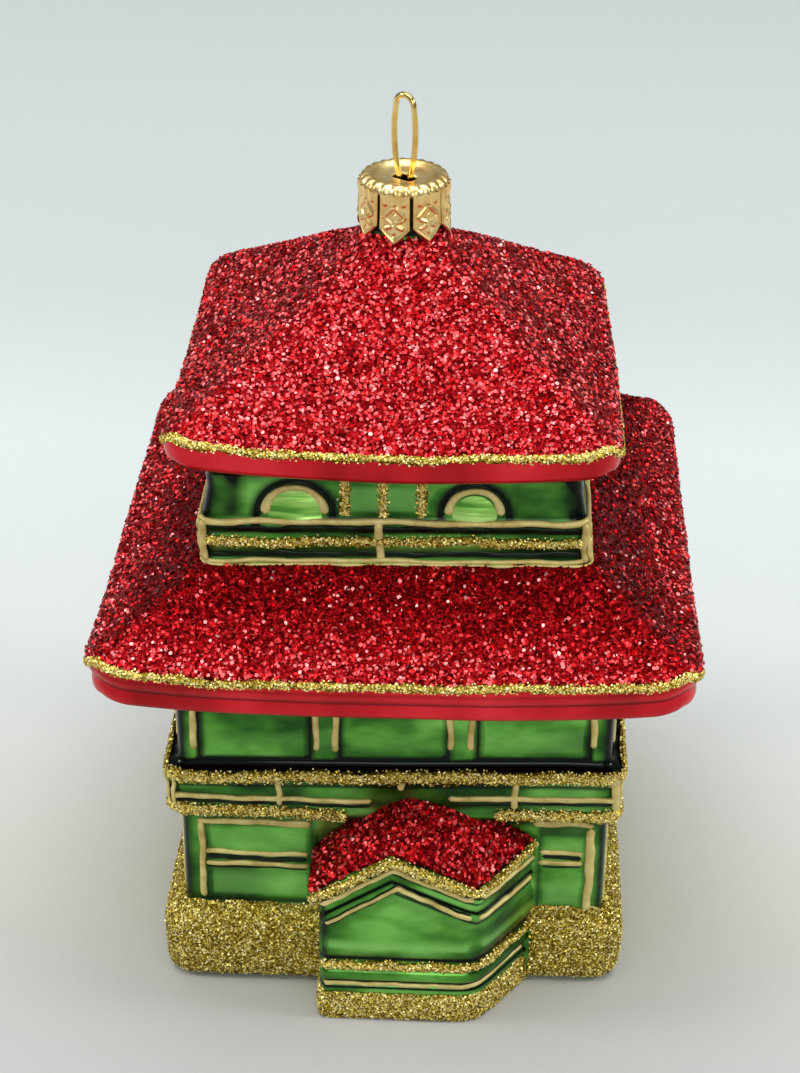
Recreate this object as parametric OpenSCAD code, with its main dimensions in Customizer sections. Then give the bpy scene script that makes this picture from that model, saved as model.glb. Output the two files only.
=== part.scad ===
// A blown-glass tree ornament shaped as a two-storey pagoda house, with its
// crown cap and wire hanger. Millimetres, +Z up, the middle of the base's
// underside is the origin and the porch looks along -Y.
// The body is one loft of rounded squares. Every coat of lacquer and glitter
// is a thin solid laid on a stretch of that loft, so it follows every change.

/* [Glass] */
// Thickness of the blown glass wall
glass_t = 0.9; // [0.7:0.1:1.4]
// Outer diameter of the round neck that takes the cap
neck_d = 11.6; // [10.8:0.2:12.4]
// Length of the neck above the roof
neck_h = 9.8; // [8:0.2:11]

/* [Widths] */
// Width of the glittered base
base_w = 71.2; // [69:0.2:76]
// Width across the ground floor walls
ground_w = 65.2; // [62:0.2:66.4]
// Width across the balcony over the porch
balcony_w = 69.2; // [68:0.2:72]
// Width across the first floor walls
first_w = 65.4; // [62:0.2:66.4]
// Width of the lower roof
lower_roof_w = 88; // [84:0.2:96]
// Width of the parapet band that stands on the lower roof
band_w = 56.4; // [54:0.2:58]
// Width of the upper storey at its waist
upper_w = 53.8; // [51:0.2:54.8]
// Width of the upper roof
upper_roof_w = 65; // [62:0.2:72]

/* [Heights] */
// Height of the base
base_h = 13; // [11:0.2:15]
// Height of the ground floor walls
ground_h = 17.6; // [16.4:0.2:20]
// Height of the balcony
balcony_h = 10.6; // [9.6:0.2:13]
// Height of the first floor
first_h = 13.8; // [12:0.2:18]
// Height of the lower roof's red edge
lower_eave_h = 6; // [5:0.2:8]
// Rise of the lower roof
lower_rise = 10; // [8:0.2:14]
// Height of the parapet band
band_h = 7.1; // [6:0.1:9]
// Height of the upper storey
upper_h = 8.4; // [7:0.2:12]
// Height of the upper roof's red edge
upper_eave_h = 4.5; // [3.8:0.1:6]
// Rise of the upper roof
upper_rise = 18.6; // [15:0.2:22]

/* [Corners] */
// Corner radius of the base
base_r = 4; // [3:0.5:6]
// Corner radius of the walls
wall_r = 1.8; // [1.4:0.1:3]
// Corner radius of the lower roof
lower_roof_r = 6.5; // [5:0.5:10]
// Corner radius of the upper roof
upper_roof_r = 5.5; // [4:0.5:8]
// How far the corners of the lower roof turn up
lower_lift = 2.2; // [0:0.1:3]
// How far the corners of the upper roof turn up
upper_lift = 2.6; // [0:0.1:3]

/* [Porch] */
// Distance of the porch front from the middle of the ornament
porch_front = 43.1; // [42:0.1:43.6]
// Distance of the porch's left wall from the middle
porch_left = 10.7; // [9:0.1:12]
// Distance of the porch's right front corner from the middle
porch_right = 12.9; // [11:0.1:14]
// How far the right wall flares out on its way back to the house
porch_flare = 8.2; // [4:0.2:9]
// Height of the porch roof's left edge above the ground
porch_eave_left = 22.8; // [22:0.2:25]
// Height of the porch roof's right edge above the ground
porch_eave_right = 25.8; // [24:0.2:26.6]
// Height of the ridge at the porch front
porch_ridge_front = 32; // [30:0.2:33]
// Height of the ridge where it meets the balcony
porch_ridge_back = 35.4; // [34.4:0.2:36.4]
// Place of the ridge, to the right of the middle, where it meets the balcony
porch_ridge_shift = 4.2; // [0:0.2:5]
// How far the roof's left edge stands out from the porch wall
porch_overhang = 1.6; // [0.6:0.1:2.4]

/* [Coats] */
// Thickness of the glitter on roofs and base
glitter_t = 0.45; // [0.3:0.05:0.7]
// Thickness of the lines of gold glitter
glitter_line_t = 0.7; // [0.5:0.05:0.9]
// Thickness of the lacquer on the red edges
lacquer_t = 0.15; // [0.1:0.05:0.3]
// Width of the raised enamel lines
enamel_w = 1; // [0.7:0.1:1.4]
// Thickness of the raised enamel lines
enamel_t = 0.4; // [0.3:0.05:0.6]
// How far the painter set the upper storey's windows to the left
paint_shift = 1.5; // [0:0.1:3]

/* [Cap] */
// Thickness of the cap's sheet metal
cap_t = 0.35; // [0.25:0.05:0.45]
// Play between cap and neck
cap_play = 0.3; // [0.2:0.05:0.4]
// Number of pointed petals
petals = 8; // [6:1:10]
// Width of the slot between two petals
petal_gap = 0.55; // [0.4:0.05:0.8]
// Height of the pointed end of a petal
petal_point = 1.6; // [1:0.1:2.2]
// Gap between the petals' points and the foot of the neck
cap_lift = 0.6; // [0.4:0.1:1.2]
// How far the middle of the cap is dished
cap_dish = 0.7; // [0.3:0.1:1]

/* [Hanger] */
// Diameter of the hanger's wire
wire_d = 0.9; // [0.8:0.05:1.1]
// Width of the loop, from outside to outside
loop_w = 4.6; // [4.4:0.2:7]
// Height of the loop above the cap
loop_h = 12; // [10:0.5:16]
// Radius of the loop's top, along the middle of the wire
loop_top_r = 1.5; // [1.2:0.05:1.7]
// Gap between the two legs where they enter the cap
leg_gap = 0.8; // [0.5:0.1:1]
// Turn of the loop from the front, as it was left
loop_turn = -35; // [-90:5:90]

/* [Hidden] */
$fn = 48;
fine = 96;

GREEN = "#2f7d3a";
RED = "#b01030";
RUBY = "#8c0f26";
GOLD = "#a8892e";
ENAMEL = "#c8a86a";
PANE = "#7fbf45";
BRASS = "#c9a85c";

// Levels of the storeys
z_base = base_h;
z_ground = z_base + ground_h;
z_balcony = z_ground + balcony_h;
z_first = z_balcony + 0.8 + first_h;
z_lower_eave = z_first + 1;
z_lower_roof = z_lower_eave + lower_eave_h;
z_band = z_lower_roof + lower_rise;
z_upper = z_band + band_h;
z_upper_eave = z_upper + upper_h;
z_upper_roof = z_upper_eave + upper_eave_h;
z_neck = z_upper_roof + upper_rise;
z_rim = z_neck + neck_h;

// Half widths
base_a = base_w / 2;
ground_a = ground_w / 2;
balcony_a = balcony_w / 2;
first_a = first_w / 2;
lower_a = lower_roof_w / 2;
band_a = band_w / 2;
upper_a = upper_w / 2;
upper_roof_a = upper_roof_w / 2;
neck_r = neck_d / 2;

// ---- The loft ----------------------------------------------------------
// A station is [height, half width, corner radius, corner lift, porch relief]
function mix(p, q, t) = p + (q - p) * t;
function stations(from, to, n, bend = 0) =
    [for (i = [0:n]) let (t = i / n) [for (k = [0:4])
        k == 0 ? mix(from[0], to[0], t * (1 - bend) + bend * t * t) : mix(from[k], to[k], t)]];

// Offsets of the mould's edges are counted in lips, the size of its finest step
lip = 0.5;
base_stations = [
    [0, base_a - 2.2 * lip, base_r - 2 * lip, 0, 0.2 * lip],
    [0.04 * base_h, base_a - 1.2 * lip, base_r - 1.2 * lip, 0, 0.8 * lip],
    [0.17 * base_h, base_a - 0.4 * lip, base_r, 0, lip],
    [0.39 * base_h, base_a, base_r, 0, 0.8 * lip],
    [0.43 * base_h, base_a, base_r, 0, 0],
    [0.69 * base_h, base_a, base_r, 0, 0],
    [0.85 * base_h, base_a - 0.6 * lip, base_r, 0, 0],
    [0.94 * base_h, base_a - 2.2 * lip, base_r - 1.2 * lip, 0, 0],
    [z_base - 0.4 * lip, ground_a + lip, wall_r + 1.2 * lip, 0, 0],
    [z_base + 0.4 * lip, ground_a, wall_r, 0, 0]
];
porch_stations = [
    for (z = [porch_eave_left - 1.2 * lip, porch_eave_left, porch_eave_right, z_ground - 0.08 * ground_h])
        [z, ground_a, wall_r, 0, 0]
];
balcony_stations = [
    [z_ground, ground_a, wall_r, 0, 0],
    [z_ground + 1.4 * lip, balcony_a - lip, wall_r + 1.6 * lip, 0, 0],
    [porch_ridge_front, balcony_a - 0.4 * lip, wall_r + 2 * lip, 0, 0],
    [z_ground + 0.27 * balcony_h, balcony_a - lip, wall_r + 2 * lip, 0, 0],
    [porch_ridge_back, balcony_a - lip, wall_r + 2 * lip, 0, 0],
    [z_balcony - 0.19 * balcony_h, balcony_a - lip, wall_r + 2 * lip, 0, 0],
    [z_balcony - 0.08 * balcony_h, balcony_a, wall_r + 2 * lip, 0, 0],
    [z_balcony, balcony_a - 0.6 * lip, wall_r + 1.6 * lip, 0, 0],
    [z_balcony + 1.6 * lip, first_a + 0.4 * lip, wall_r, 0, 0]
];
soffit = 3 * lip;
first_stations = [
    [z_balcony + 4 * lip, first_a, wall_r, 0, 0],
    [z_first - soffit, first_a, wall_r, 0, 0],
    [z_first, first_a + soffit, wall_r + soffit, 0, 0],
    [z_first + lip, lower_a - 8 * lip, lower_roof_r - 4 * lip, lower_lift * 0.7, 0]
];
lower_eave_stations = [
    [z_lower_eave, lower_a - 1.6 * lip, lower_roof_r - 1.4 * lip, lower_lift * 0.9, 0],
    [z_lower_eave + 0.22 * lower_eave_h, lower_a - lip, lower_roof_r - 0.6 * lip, lower_lift, 0],
    [z_lower_eave + 0.45 * lower_eave_h, lower_a - 1.2 * lip, lower_roof_r - 0.8 * lip, lower_lift, 0],
    [z_lower_eave + 0.57 * lower_eave_h, lower_a - 0.3 * lip, lower_roof_r, lower_lift, 0],
    [z_lower_eave + 0.78 * lower_eave_h, lower_a, lower_roof_r, lower_lift, 0],
    [z_lower_roof + 0.4 * lip, lower_a - 0.6 * lip, lower_roof_r, lower_lift, 0]
];
lower_roof_stations = stations(
    [z_lower_roof, lower_a - 3.2 * lip, lower_roof_r - 2 * lip, lower_lift * 0.9, 0],
    [z_band - 0.8 * lip, band_a + 1.6 * lip, wall_r + 2.8 * lip, 0, 0], 5, 0.2);
band_mid = z_band + band_h / 2;
band_stations = [
    [z_band + 0.2 * lip, band_a - 0.2 * lip, wall_r, 0, 0],
    [z_band + 2 * lip, band_a - 0.2 * lip, wall_r, 0, 0],
    [band_mid - 1.6 * lip, band_a - 0.8 * lip, wall_r, 0, 0],
    [band_mid, band_a - 0.2 * lip, wall_r, 0, 0],
    [band_mid + 1.6 * lip, band_a - 0.8 * lip, wall_r, 0, 0],
    [z_upper - 1.8 * lip, band_a - 0.2 * lip, wall_r, 0, 0],
    [z_upper, band_a - 0.4 * lip, wall_r, 0, 0],
    [z_upper + 0.06 * upper_h, mix(upper_a, band_a, 0.55), wall_r, 0, 0],
    [z_upper + 0.24 * upper_h, mix(upper_a, band_a, 0.3), wall_r, 0, 0],
    [z_upper + 0.52 * upper_h, upper_a, wall_r, 0, 0],
    [z_upper_eave - 2 * lip, upper_a + 0.4 * lip, wall_r + 0.8 * lip, 0, 0],
    [z_upper_eave - 0.4 * lip, upper_a + 4 * lip, wall_r + 3.2 * lip, upper_lift * 0.4, 0]
];
upper_eave_stations = [
    [z_upper_eave + 0.13 * upper_eave_h, upper_roof_a - 3 * lip, upper_roof_r - 2 * lip, upper_lift * 0.9, 0],
    [z_upper_eave + 0.33 * upper_eave_h, upper_roof_a - lip, upper_roof_r - 0.8 * lip, upper_lift, 0],
    [z_upper_eave + 0.73 * upper_eave_h, upper_roof_a, upper_roof_r, upper_lift, 0],
    [z_upper_roof, upper_roof_a - 0.4 * lip, upper_roof_r, upper_lift, 0]
];
upper_roof_stations = stations(
    [z_upper_roof + 0.8 * lip, upper_roof_a - 2 * lip, upper_roof_r, upper_lift * 0.9, 0],
    [z_neck - 1.4 * lip, neck_r + 3.2 * lip, neck_r, 0, 0], 6, 0.06);
neck_stations = [
    [z_neck - 0.5 * lip, neck_r + 1.4 * lip, neck_r + 1.4 * lip, 0, 0],
    [z_neck + 0.6 * lip, neck_r, neck_r, 0, 0],
    [z_rim, neck_r, neck_r, 0, 0]
];

body = concat(base_stations, porch_stations, balcony_stations, first_stations,
    lower_eave_stations, lower_roof_stations, band_stations, upper_eave_stations,
    upper_roof_stations, neck_stations);

// Numbers of the stations where each coat begins and ends
n_base = 0;
n_porch = len(base_stations);
n_balcony = n_porch + len(porch_stations);
n_first = n_balcony + len(balcony_stations);
n_lower_eave = n_first + len(first_stations);
n_lower_roof = n_lower_eave + len(lower_eave_stations);
n_band = n_lower_roof + len(lower_roof_stations);
n_upper_eave = n_band + len(band_stations);
n_upper_roof = n_upper_eave + len(upper_eave_stations);
n_neck = n_upper_roof + len(upper_roof_stations);

// The porch in plan at height z: where its left wall leaves the house, its two
// front corners, and where its right wall comes back to the house. The walls
// and the roof's edges move out by g. A roof over 0 runs the slopes on below
// their edges, for the coat of that thickness which lies on them.
flare_slope = porch_flare / (porch_front - ground_a);
// Rise of the right edge on its way back to the house
flare_rise = 1.5;
function along(p, q, z) = mix(p[0], q[0], (z - p[1]) / (q[1] - p[1]));
function porch_plan(z, a, c, g, roof) =
    let (
        ridge = [0, porch_ridge_front],
        back_ridge = [porch_ridge_shift, porch_ridge_back],
        eave_l = [-porch_left - porch_overhang, porch_eave_left],
        eave_r = [porch_right, porch_eave_right],
        back_r = [porch_right + porch_flare, porch_eave_right + flare_rise],
        under_l = z < porch_eave_left - 0.01 && roof == 0,
        under_r = z < porch_eave_right - 0.01 && roof == 0,
        left_x = under_l ? -porch_left : along(eave_l, ridge, z),
        right_x = under_r ? porch_right : along(eave_r, ridge, z),
        back_left_x = under_l ? -porch_left : along(eave_l, back_ridge, z),
        back_right_x = z < back_r[1] ? porch_right + flare_slope * (porch_front - a) + roof
            : along(back_r, back_ridge, z),
        house_y = -a - g,
        rise = max(z - porch_ridge_front, 0) / (porch_ridge_back - porch_ridge_front),
        apex = [mix(0, porch_ridge_shift, rise), mix(-porch_front - g, house_y - 0.1, rise)]
    )
    z > porch_ridge_back + 0.1
        ? [for (x = [-0.6, -0.2, 0.2, 0.6]) [x * c, house_y]]
    : z > porch_ridge_back - 0.1
        ? [for (x = [-1.2, -0.4, 0.4, 1.2]) [x + porch_ridge_shift, house_y]]
    : z > porch_ridge_front - 0.5
        ? [[back_left_x - g, house_y], apex - [0.7, 0], apex + [0.7, 0], [back_right_x + g, house_y]]
    : [[back_left_x - g, house_y], [left_x - g, -porch_front - g],
        [right_x + g, -porch_front - g], [back_right_x + g, house_y]];

// One corner of the porch, rounded by three points
function ease(p, q, r, cut) =
    let (
        u = min(cut, norm(p - q) * 0.4) / norm(p - q),
        v = min(cut, norm(r - q) * 0.4) / norm(r - q),
        a = q + (p - q) * u,
        b = q + (r - q) * v
    )
    [a, (a + b) / 4 + q / 2, b];

corner_steps = 3;
side_steps = 3;
function arc(cx, cy, r, start) =
    [for (i = [0:corner_steps]) [cx + r * cos(start + 90 * i / corner_steps),
        cy + r * sin(start + 90 * i / corner_steps)]];
// The rounded corners from front right round to front left, and the points
// that divide the three straight sides between them
function side(p, q) = [for (i = [1:side_steps - 1]) mix(p, q, i / side_steps)];
function round_corners(c, r) =
    concat(
        arc(c, -c, r, -90), side([c + r, -c], [c + r, c]),
        arc(c, c, r, 0), side([c, c + r], [-c, c + r]),
        arc(-c, c, r, 90), side([-c - r, c], [-c - r, -c]),
        arc(-c, -c, r, 180));
// A round ring of as many points, with the corners' points round its diagonals
corner_angle = 12;
function round_ring(r) =
    [for (t = concat(
        [for (i = [0:11]) -90 + (i - 5.5) * 3.8],
        [for (q = [0:3]) each concat(
            [for (i = [0:corner_steps]) -45 + 90 * q + (i - corner_steps / 2) * corner_angle],
            q == 3 ? [] : [for (i = [1:side_steps - 1]) 90 * q + (i / side_steps - 0.5) * 54])]))
        [r * cos(t), r * sin(t)]];
function plan(s, g, roof_t) =
    let (
        a = s[1],
        r = s[2],
        c = a - r,
        porch = porch_plan(s[0] - roof_t, a, c, g + s[4], roof_t),
        q = concat([[-c, -a - g]], [for (p = porch) [p[0], min(p[1], -a - g)]], [[c, -a - g]])
    )
    c < 0.01 ? round_ring(a + g) : concat(
        [for (k = [1:4]) each ease(q[k - 1], q[k], q[k + 1], 0.8)],
        round_corners(c, r + g));
ring_n = 12 + 4 * (corner_steps + 1) + 3 * (side_steps - 1);
// The porch's share of a ring, and its first and second half
porch_last = 11;
porch_mid = 5;

// How far a point of a ring is lifted: nothing at mid side, all at a corner
lift_power = 2;
function lift(x, y, a) = pow(min(abs(x), abs(y)) / a, lift_power);
// Ring of one station, grown by g sideways and dz upwards, with the porch
// roof thickened by roof_t
function ring(s, g = 0, dz = 0, roof_t = 0) =
    [for (p = plan(s, g, roof_t)) [p[0], p[1],
        s[0] + dz + (s[3] == 0 ? 0 : s[3] * lift(p[0], p[1], s[1] + g))]];

// Sideways and upward parts of the outline's normal at station i
function slope(i) =
    let (
        p = body[max(i - 1, 0)],
        q = body[min(i + 1, len(body) - 1)],
        d = [q[1] - p[1], q[0] - p[0]],
        n = norm(d)
    )
    [d[1] / n, -d[0] / n];

// Two triangles for each step round a ring, from ring at u to ring at v
function wall_faces(u, v, n, closed) =
    [for (i = [0:closed ? n - 1 : n - 2]) let (j = (i + 1) % n)
        each [[u + i, v + j, u + j], [u + i, v + i, v + j]]];

// A coat over stations i0 to i1, and ring points p0 to p1 (all round by
// default), less a gap at either end. Its thickness is t, and edge_t at its
// first and last station.
function toward(p, q, d) = p + (q - p) * d / norm(q - p);
function strip(r, p0, p1, gap) =
    [for (j = [p0:p1]) let (p = r[j % ring_n])
        gap > 0 && j == p0 ? toward(p, r[(j + 1) % ring_n], gap)
            : gap > 0 && j == p1 ? toward(p, r[(j - 1) % ring_n], gap) : p];
module coat(i0, i1, t, edge_t, p0 = 0, p1 = ring_n - 1, gap = 0) {
    closed = p0 == 0 && p1 == ring_n - 1;
    n = p1 - p0 + 1;
    k = i1 - i0 + 1;
    inner = [for (i = [i0:i1]) each strip(ring(body[i]), p0, p1, gap)];
    outer = [for (i = [i0:i1])
        let (
            w = i == i0 || i == i1 ? edge_t : t,
            m = slope(i),
            r = ring(body[i], w * m[0], w * m[1])
        )
        each strip(r, p0, p1, gap)];
    o = n * k;
    sides = [for (s = [0:k - 2])
        each concat(wall_faces(o + s * n, o + (s + 1) * n, n, closed),
            [for (f = wall_faces(s * n, (s + 1) * n, n, closed)) [f[2], f[1], f[0]]])];
    ends = concat(wall_faces(0, o, n, closed),
        [for (f = wall_faces((k - 1) * n, o + (k - 1) * n, n, closed)) [f[2], f[1], f[0]]]);
    edges = closed ? [] : [for (s = [0:k - 2]) each [
        [s * n, (s + 1) * n, o + (s + 1) * n], [s * n, o + (s + 1) * n, o + s * n],
        [(s + 1) * n + n - 1, s * n + n - 1, o + s * n + n - 1],
        [(s + 1) * n + n - 1, o + s * n + n - 1, o + (s + 1) * n + n - 1]]];
    polyhedron(points = concat(inner, outer), faces = concat(sides, ends, edges), convexity = 10);
}

// ---- The glass ---------------------------------------------------------
// The hollow inside: stations of the loft, whose rings shrink by the wall.
// The porch is hollow up to porch_hollow.
roof_drop = 1.3 * glass_t;
porch_hollow = porch_ridge_front - 2.4;
cavity = concat([
    [glass_t, base_a - 2.4 * lip, base_r - 1.6 * lip, 0, 0],
    [glass_t + 0.12 * base_h, base_a - lip, base_r, 0, 0],
    [z_base - 0.23 * base_h, base_a - 0.2 * lip, base_r, 0, 0],
    [z_base - 1.8 * lip, ground_a + 0.8 * lip, wall_r + 0.8 * lip, 0, 0],
    [porch_eave_left - 0.4 * lip, ground_a, wall_r, 0, 0],
    [porch_eave_right - 2 * lip, ground_a, wall_r, 0, 0],
    [porch_hollow - roof_drop - 0.4 * lip, ground_a, wall_r, 0, 0],
    [porch_hollow + 0.8 * lip, ground_a, wall_r, 0, 0],
    [z_ground + 1.4 * lip, ground_a, wall_r, 0, 0],
    [z_ground + 3.2 * lip, balcony_a - 1.4 * lip, wall_r + 1.6 * lip, 0, 0],
    [z_balcony - 2.4 * lip, balcony_a - 1.2 * lip, wall_r + 2 * lip, 0, 0],
    [z_balcony + 0.4 * lip, first_a + 0.2 * lip, wall_r, 0, 0],
    [z_first - 1.6 * lip, first_a, wall_r, 0, 0],
    [z_first + 1.4 * lip, first_a + 1.8 * lip, wall_r + 2.4 * lip, 0, 0],
    [z_first + 3 * lip, lower_a - 8 * lip, lower_roof_r - 4 * lip, lower_lift * 0.7, 0],
    [z_lower_eave + 0.2 * lower_eave_h, lower_a - 2.8 * lip, lower_roof_r - 1.4 * lip, lower_lift * 0.95, 0],
    [z_lower_roof - 2.2 * lip, lower_a - 1.6 * lip, lower_roof_r - 0.8 * lip, lower_lift, 0]
], stations(
    [z_lower_roof - 2.2 * lip, lower_a - 4.4 * lip, lower_roof_r - 2.8 * lip, lower_lift * 0.85, 0],
    [z_band - 3 * lip, band_a + 1.4 * lip, wall_r + 2 * lip, 0, 0], 3, 0.2),
[
    [z_band, band_a - lip, wall_r, 0, 0],
    [z_upper - 0.8 * lip, band_a - 1.2 * lip, wall_r, 0, 0],
    [z_upper + 0.52 * upper_h, upper_a - 0.2 * lip, wall_r, 0, 0],
    [z_upper_eave - 0.8 * lip, upper_a, wall_r, 0, 0],
    [z_upper_eave + 0.33 * upper_eave_h, upper_roof_a - 4.4 * lip, upper_roof_r - 2.8 * lip,
        upper_lift * 0.9, 0],
    [z_upper_roof - 2.4 * lip, upper_roof_a - 1.2 * lip, upper_roof_r - 0.8 * lip, upper_lift, 0]
], stations(
    [z_upper_roof - 1.8 * lip, upper_roof_a - 3.2 * lip, upper_roof_r - 1.6 * lip, upper_lift * 0.9, 0],
    [z_neck - 3.8 * lip, neck_r + 3.2 * lip, neck_r, 0, 0], 3, 0.06),
[
    [z_neck, neck_r, neck_r, 0, 0],
    [z_rim, neck_r, neck_r, 0, 0]
]);

function hollow_plan(s) =
    let (
        z = s[0] + (s[0] > porch_eave_left - 1 ? roof_drop : 0),
        a = s[1],
        c = a - s[2],
        porch = s[0] > porch_hollow + 0.6
            ? [for (x = [-0.6, -0.2, 0.2, 0.6]) [x * c, -a + glass_t]]
            : s[0] > porch_hollow
            ? [for (x = [-0.9, -0.3, 0.3, 0.9]) [x + porch_ridge_shift / 2, -a + glass_t]]
            : [for (p = porch_plan(z, a, c, -glass_t, 0))
                [min(max(p[0], -porch_left + glass_t), porch_right + flare_slope * (porch_front - a)
                    - glass_t), p[1]]],
        q = concat([[-c, -a + glass_t]], porch, [[c, -a + glass_t]])
    )
    c < 0.01 ? round_ring(a - glass_t) : concat(
        [for (k = [1:4]) each ease(q[k - 1], q[k], q[k + 1], 0.8)],
        round_corners(c, s[2] - glass_t));
function hollow_ring(s) = [for (p = hollow_plan(s)) [p[0], p[1],
    s[0] + (s[3] == 0 ? 0 : s[3] * lift(p[0], p[1], s[1]))]];

module glass_shell() {
    k = len(body);
    h = len(cavity);
    rings = [for (s = body) each ring(s)];
    hollow = [for (s = cavity) each hollow_ring(s)];
    inside = k * ring_n;
    back = ring_n - 2 * (corner_steps + 1) - 2 * side_steps;
    outer_faces = [for (i = [0:k - 2])
        each wall_faces(i * ring_n, (i + 1) * ring_n, ring_n, true)];
    inner_faces = [for (i = [0:h - 2])
        each wall_faces(inside + (i + 1) * ring_n, inside + i * ring_n, ring_n, true)];
    mouth = wall_faces((k - 1) * ring_n, inside + (h - 1) * ring_n, ring_n, true);
    floors = [for (i = [0:ring_n - 1]) let (j = (i + 1) % ring_n)
        if (i != back && j != back) each [[back, i, j], [inside + i, inside + back, inside + j]]];
    color(GREEN) polyhedron(points = concat(rings, hollow),
        faces = concat(outer_faces, inner_faces, mouth, floors), convexity = 10);
}

// ---- Glitter and lacquer -----------------------------------------------
// The house's share of a ring, from the porch's right side round to its left
house_from = porch_last;
house_to = ring_n;
// Thickness of a coat where it thins out at its edge
thin_edge = glitter_t / 3;

module base_glitter() {
    color(GOLD) coat(n_base + 1, n_porch - 1, glitter_t, thin_edge, house_from, house_to);
}
module porch_base_glitter() {
    color(GOLD) coat(n_base + 1, n_base + 3, glitter_t, thin_edge, 0, porch_last);
}
module balcony_lower_glitter_line() {
    color(GOLD)
        coat(n_balcony + 1, n_balcony + 3, glitter_line_t, thin_edge, house_from, house_to, 3 * glitter_t);
}
module balcony_upper_glitter_line() {
    color(GOLD) coat(n_balcony + 5, n_balcony + 7, glitter_line_t, thin_edge);
}
module lower_eave_lacquer() {
    color(RED) coat(n_lower_eave - 1, n_lower_eave + 4, lacquer_t, lacquer_t);
}
module lower_eave_glitter_line() {
    color(GOLD) coat(n_lower_eave + 4, n_lower_roof, glitter_line_t, glitter_t);
}
module lower_roof_glitter() {
    color(RUBY) coat(n_lower_roof, n_band, glitter_t, glitter_t);
}
module band_glitter_line() {
    color(GOLD) coat(n_band + 2, n_band + 4, glitter_line_t, thin_edge);
}
module upper_eave_lacquer() {
    color(RED) coat(n_upper_eave - 1, n_upper_eave + 2, lacquer_t, lacquer_t);
}
module upper_eave_glitter_line() {
    color(GOLD) coat(n_upper_eave + 2, n_upper_roof, glitter_line_t, glitter_t);
}
module upper_roof_glitter() {
    color(RUBY) coat(n_upper_roof, n_neck, glitter_t, thin_edge);
}
// The porch roof's coat is made of the loft's patches between two stations and
// two ring points: both slopes, and the crest that runs back to the balcony
left_eave = n_porch + 1;
right_eave = n_porch + 2;
front_ridge = n_balcony + 2;
back_ridge = n_balcony + 4;
function roofed(s, j) = j >= 0 && j < porch_last && s >= left_eave && s < back_ridge
    && (s >= front_ridge || j < porch_mid || (j > porch_mid && s >= right_eave));
// How far the coat is lifted along the crest
crest_t = 0.4 * glitter_t;
module porch_roof_glitter() {
    n = porch_last + 1;
    rows = [left_eave:back_ridge];
    inner = [for (i = rows) let (r = ring(body[i])) each [for (j = [0:porch_last]) r[j]]];
    outer = [for (i = rows)
        let (
            up = i < front_ridge ? 0 : crest_t,
            r = ring(body[i], 0, up, glitter_t - up)
        )
        each [for (j = [0:porch_last]) r[j]]];
    o = len(inner);
    faces = [for (s = rows, j = [0:porch_last - 1]) if (roofed(s, j))
        let (
            a = (s - left_eave) * n + j,
            b = a + 1,
            c = b + n,
            d = a + n
        )
        each concat(
            [[o + a, o + c, o + b], [o + a, o + d, o + c], [b, c, a], [c, d, a]],
            roofed(s - 1, j) ? [] : [[a, o + b, b], [a, o + a, o + b]],
            roofed(s + 1, j) ? [] : [[c, o + c, d], [o + c, o + d, d]],
            roofed(s, j - 1) ? [] : [[a, d, o + d], [a, o + d, o + a]],
            roofed(s, j + 1) ? [] : [[c, b, o + b], [c, o + b, o + c]])];
    color(RUBY) polyhedron(points = concat(inner, outer), faces = faces, convexity = 8);
}

// ---- Where flat pieces are laid ----------------------------------------
// Draws children, x along the wall and y up, standing t out of the front
// wall that lies y out from the middle. The four walls are turned by 90.
module on_wall(y, t, wall = 0) {
    rotate([0, 0, 90 * wall]) translate([0, -y, 0]) rotate([90, 0, 0]) linear_extrude(t) children();
}
flare_turn = atan2(porch_front - ground_a, porch_flare);
flare_len = norm([porch_front - ground_a, porch_flare]);
// The same on the porch's flared right wall, x from its front corner
module on_flare(t) {
    translate([porch_right, -porch_front, 0]) rotate([0, 0, flare_turn])
        rotate([90, 0, 0]) linear_extrude(t) children();
}
// A line of width w from point p to point q, with round ends
round_sides = 10;
module stroke(p, q, w = enamel_w) {
    d = q - p;
    translate(p) rotate(atan2(d[1], d[0])) {
        translate([0, -w / 2]) square([norm(d), w]);
        circle(r = w / 2, $fn = round_sides);
        translate([norm(d), 0]) circle(r = w / 2, $fn = round_sides);
    }
}

// A skin of thickness t and width w on the front wall's middle, that follows
// the loft's outline from station i0 to i1
module wall_skin(i0, i1, t, w) {
    rotate([90, 0, 90]) linear_extrude(w, center = true)
        polygon(concat([for (i = [i0:i1]) [-body[i][1], body[i][0]]],
            [for (i = [i1:-1:i0]) [-body[i][1] - t, body[i][0]]]));
}

module upper_wall_glitter_strips() {
    strip_w = 1.5;
    strip_gap = 5.5;
    color(GOLD) for (wall = [0:3], k = [-1:1])
        rotate([0, 0, 90 * wall]) translate([k * strip_gap - paint_shift, 0, 0])
            wall_skin(n_band + 7, n_upper_eave - 2, glitter_line_t, strip_w);
}

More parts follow.
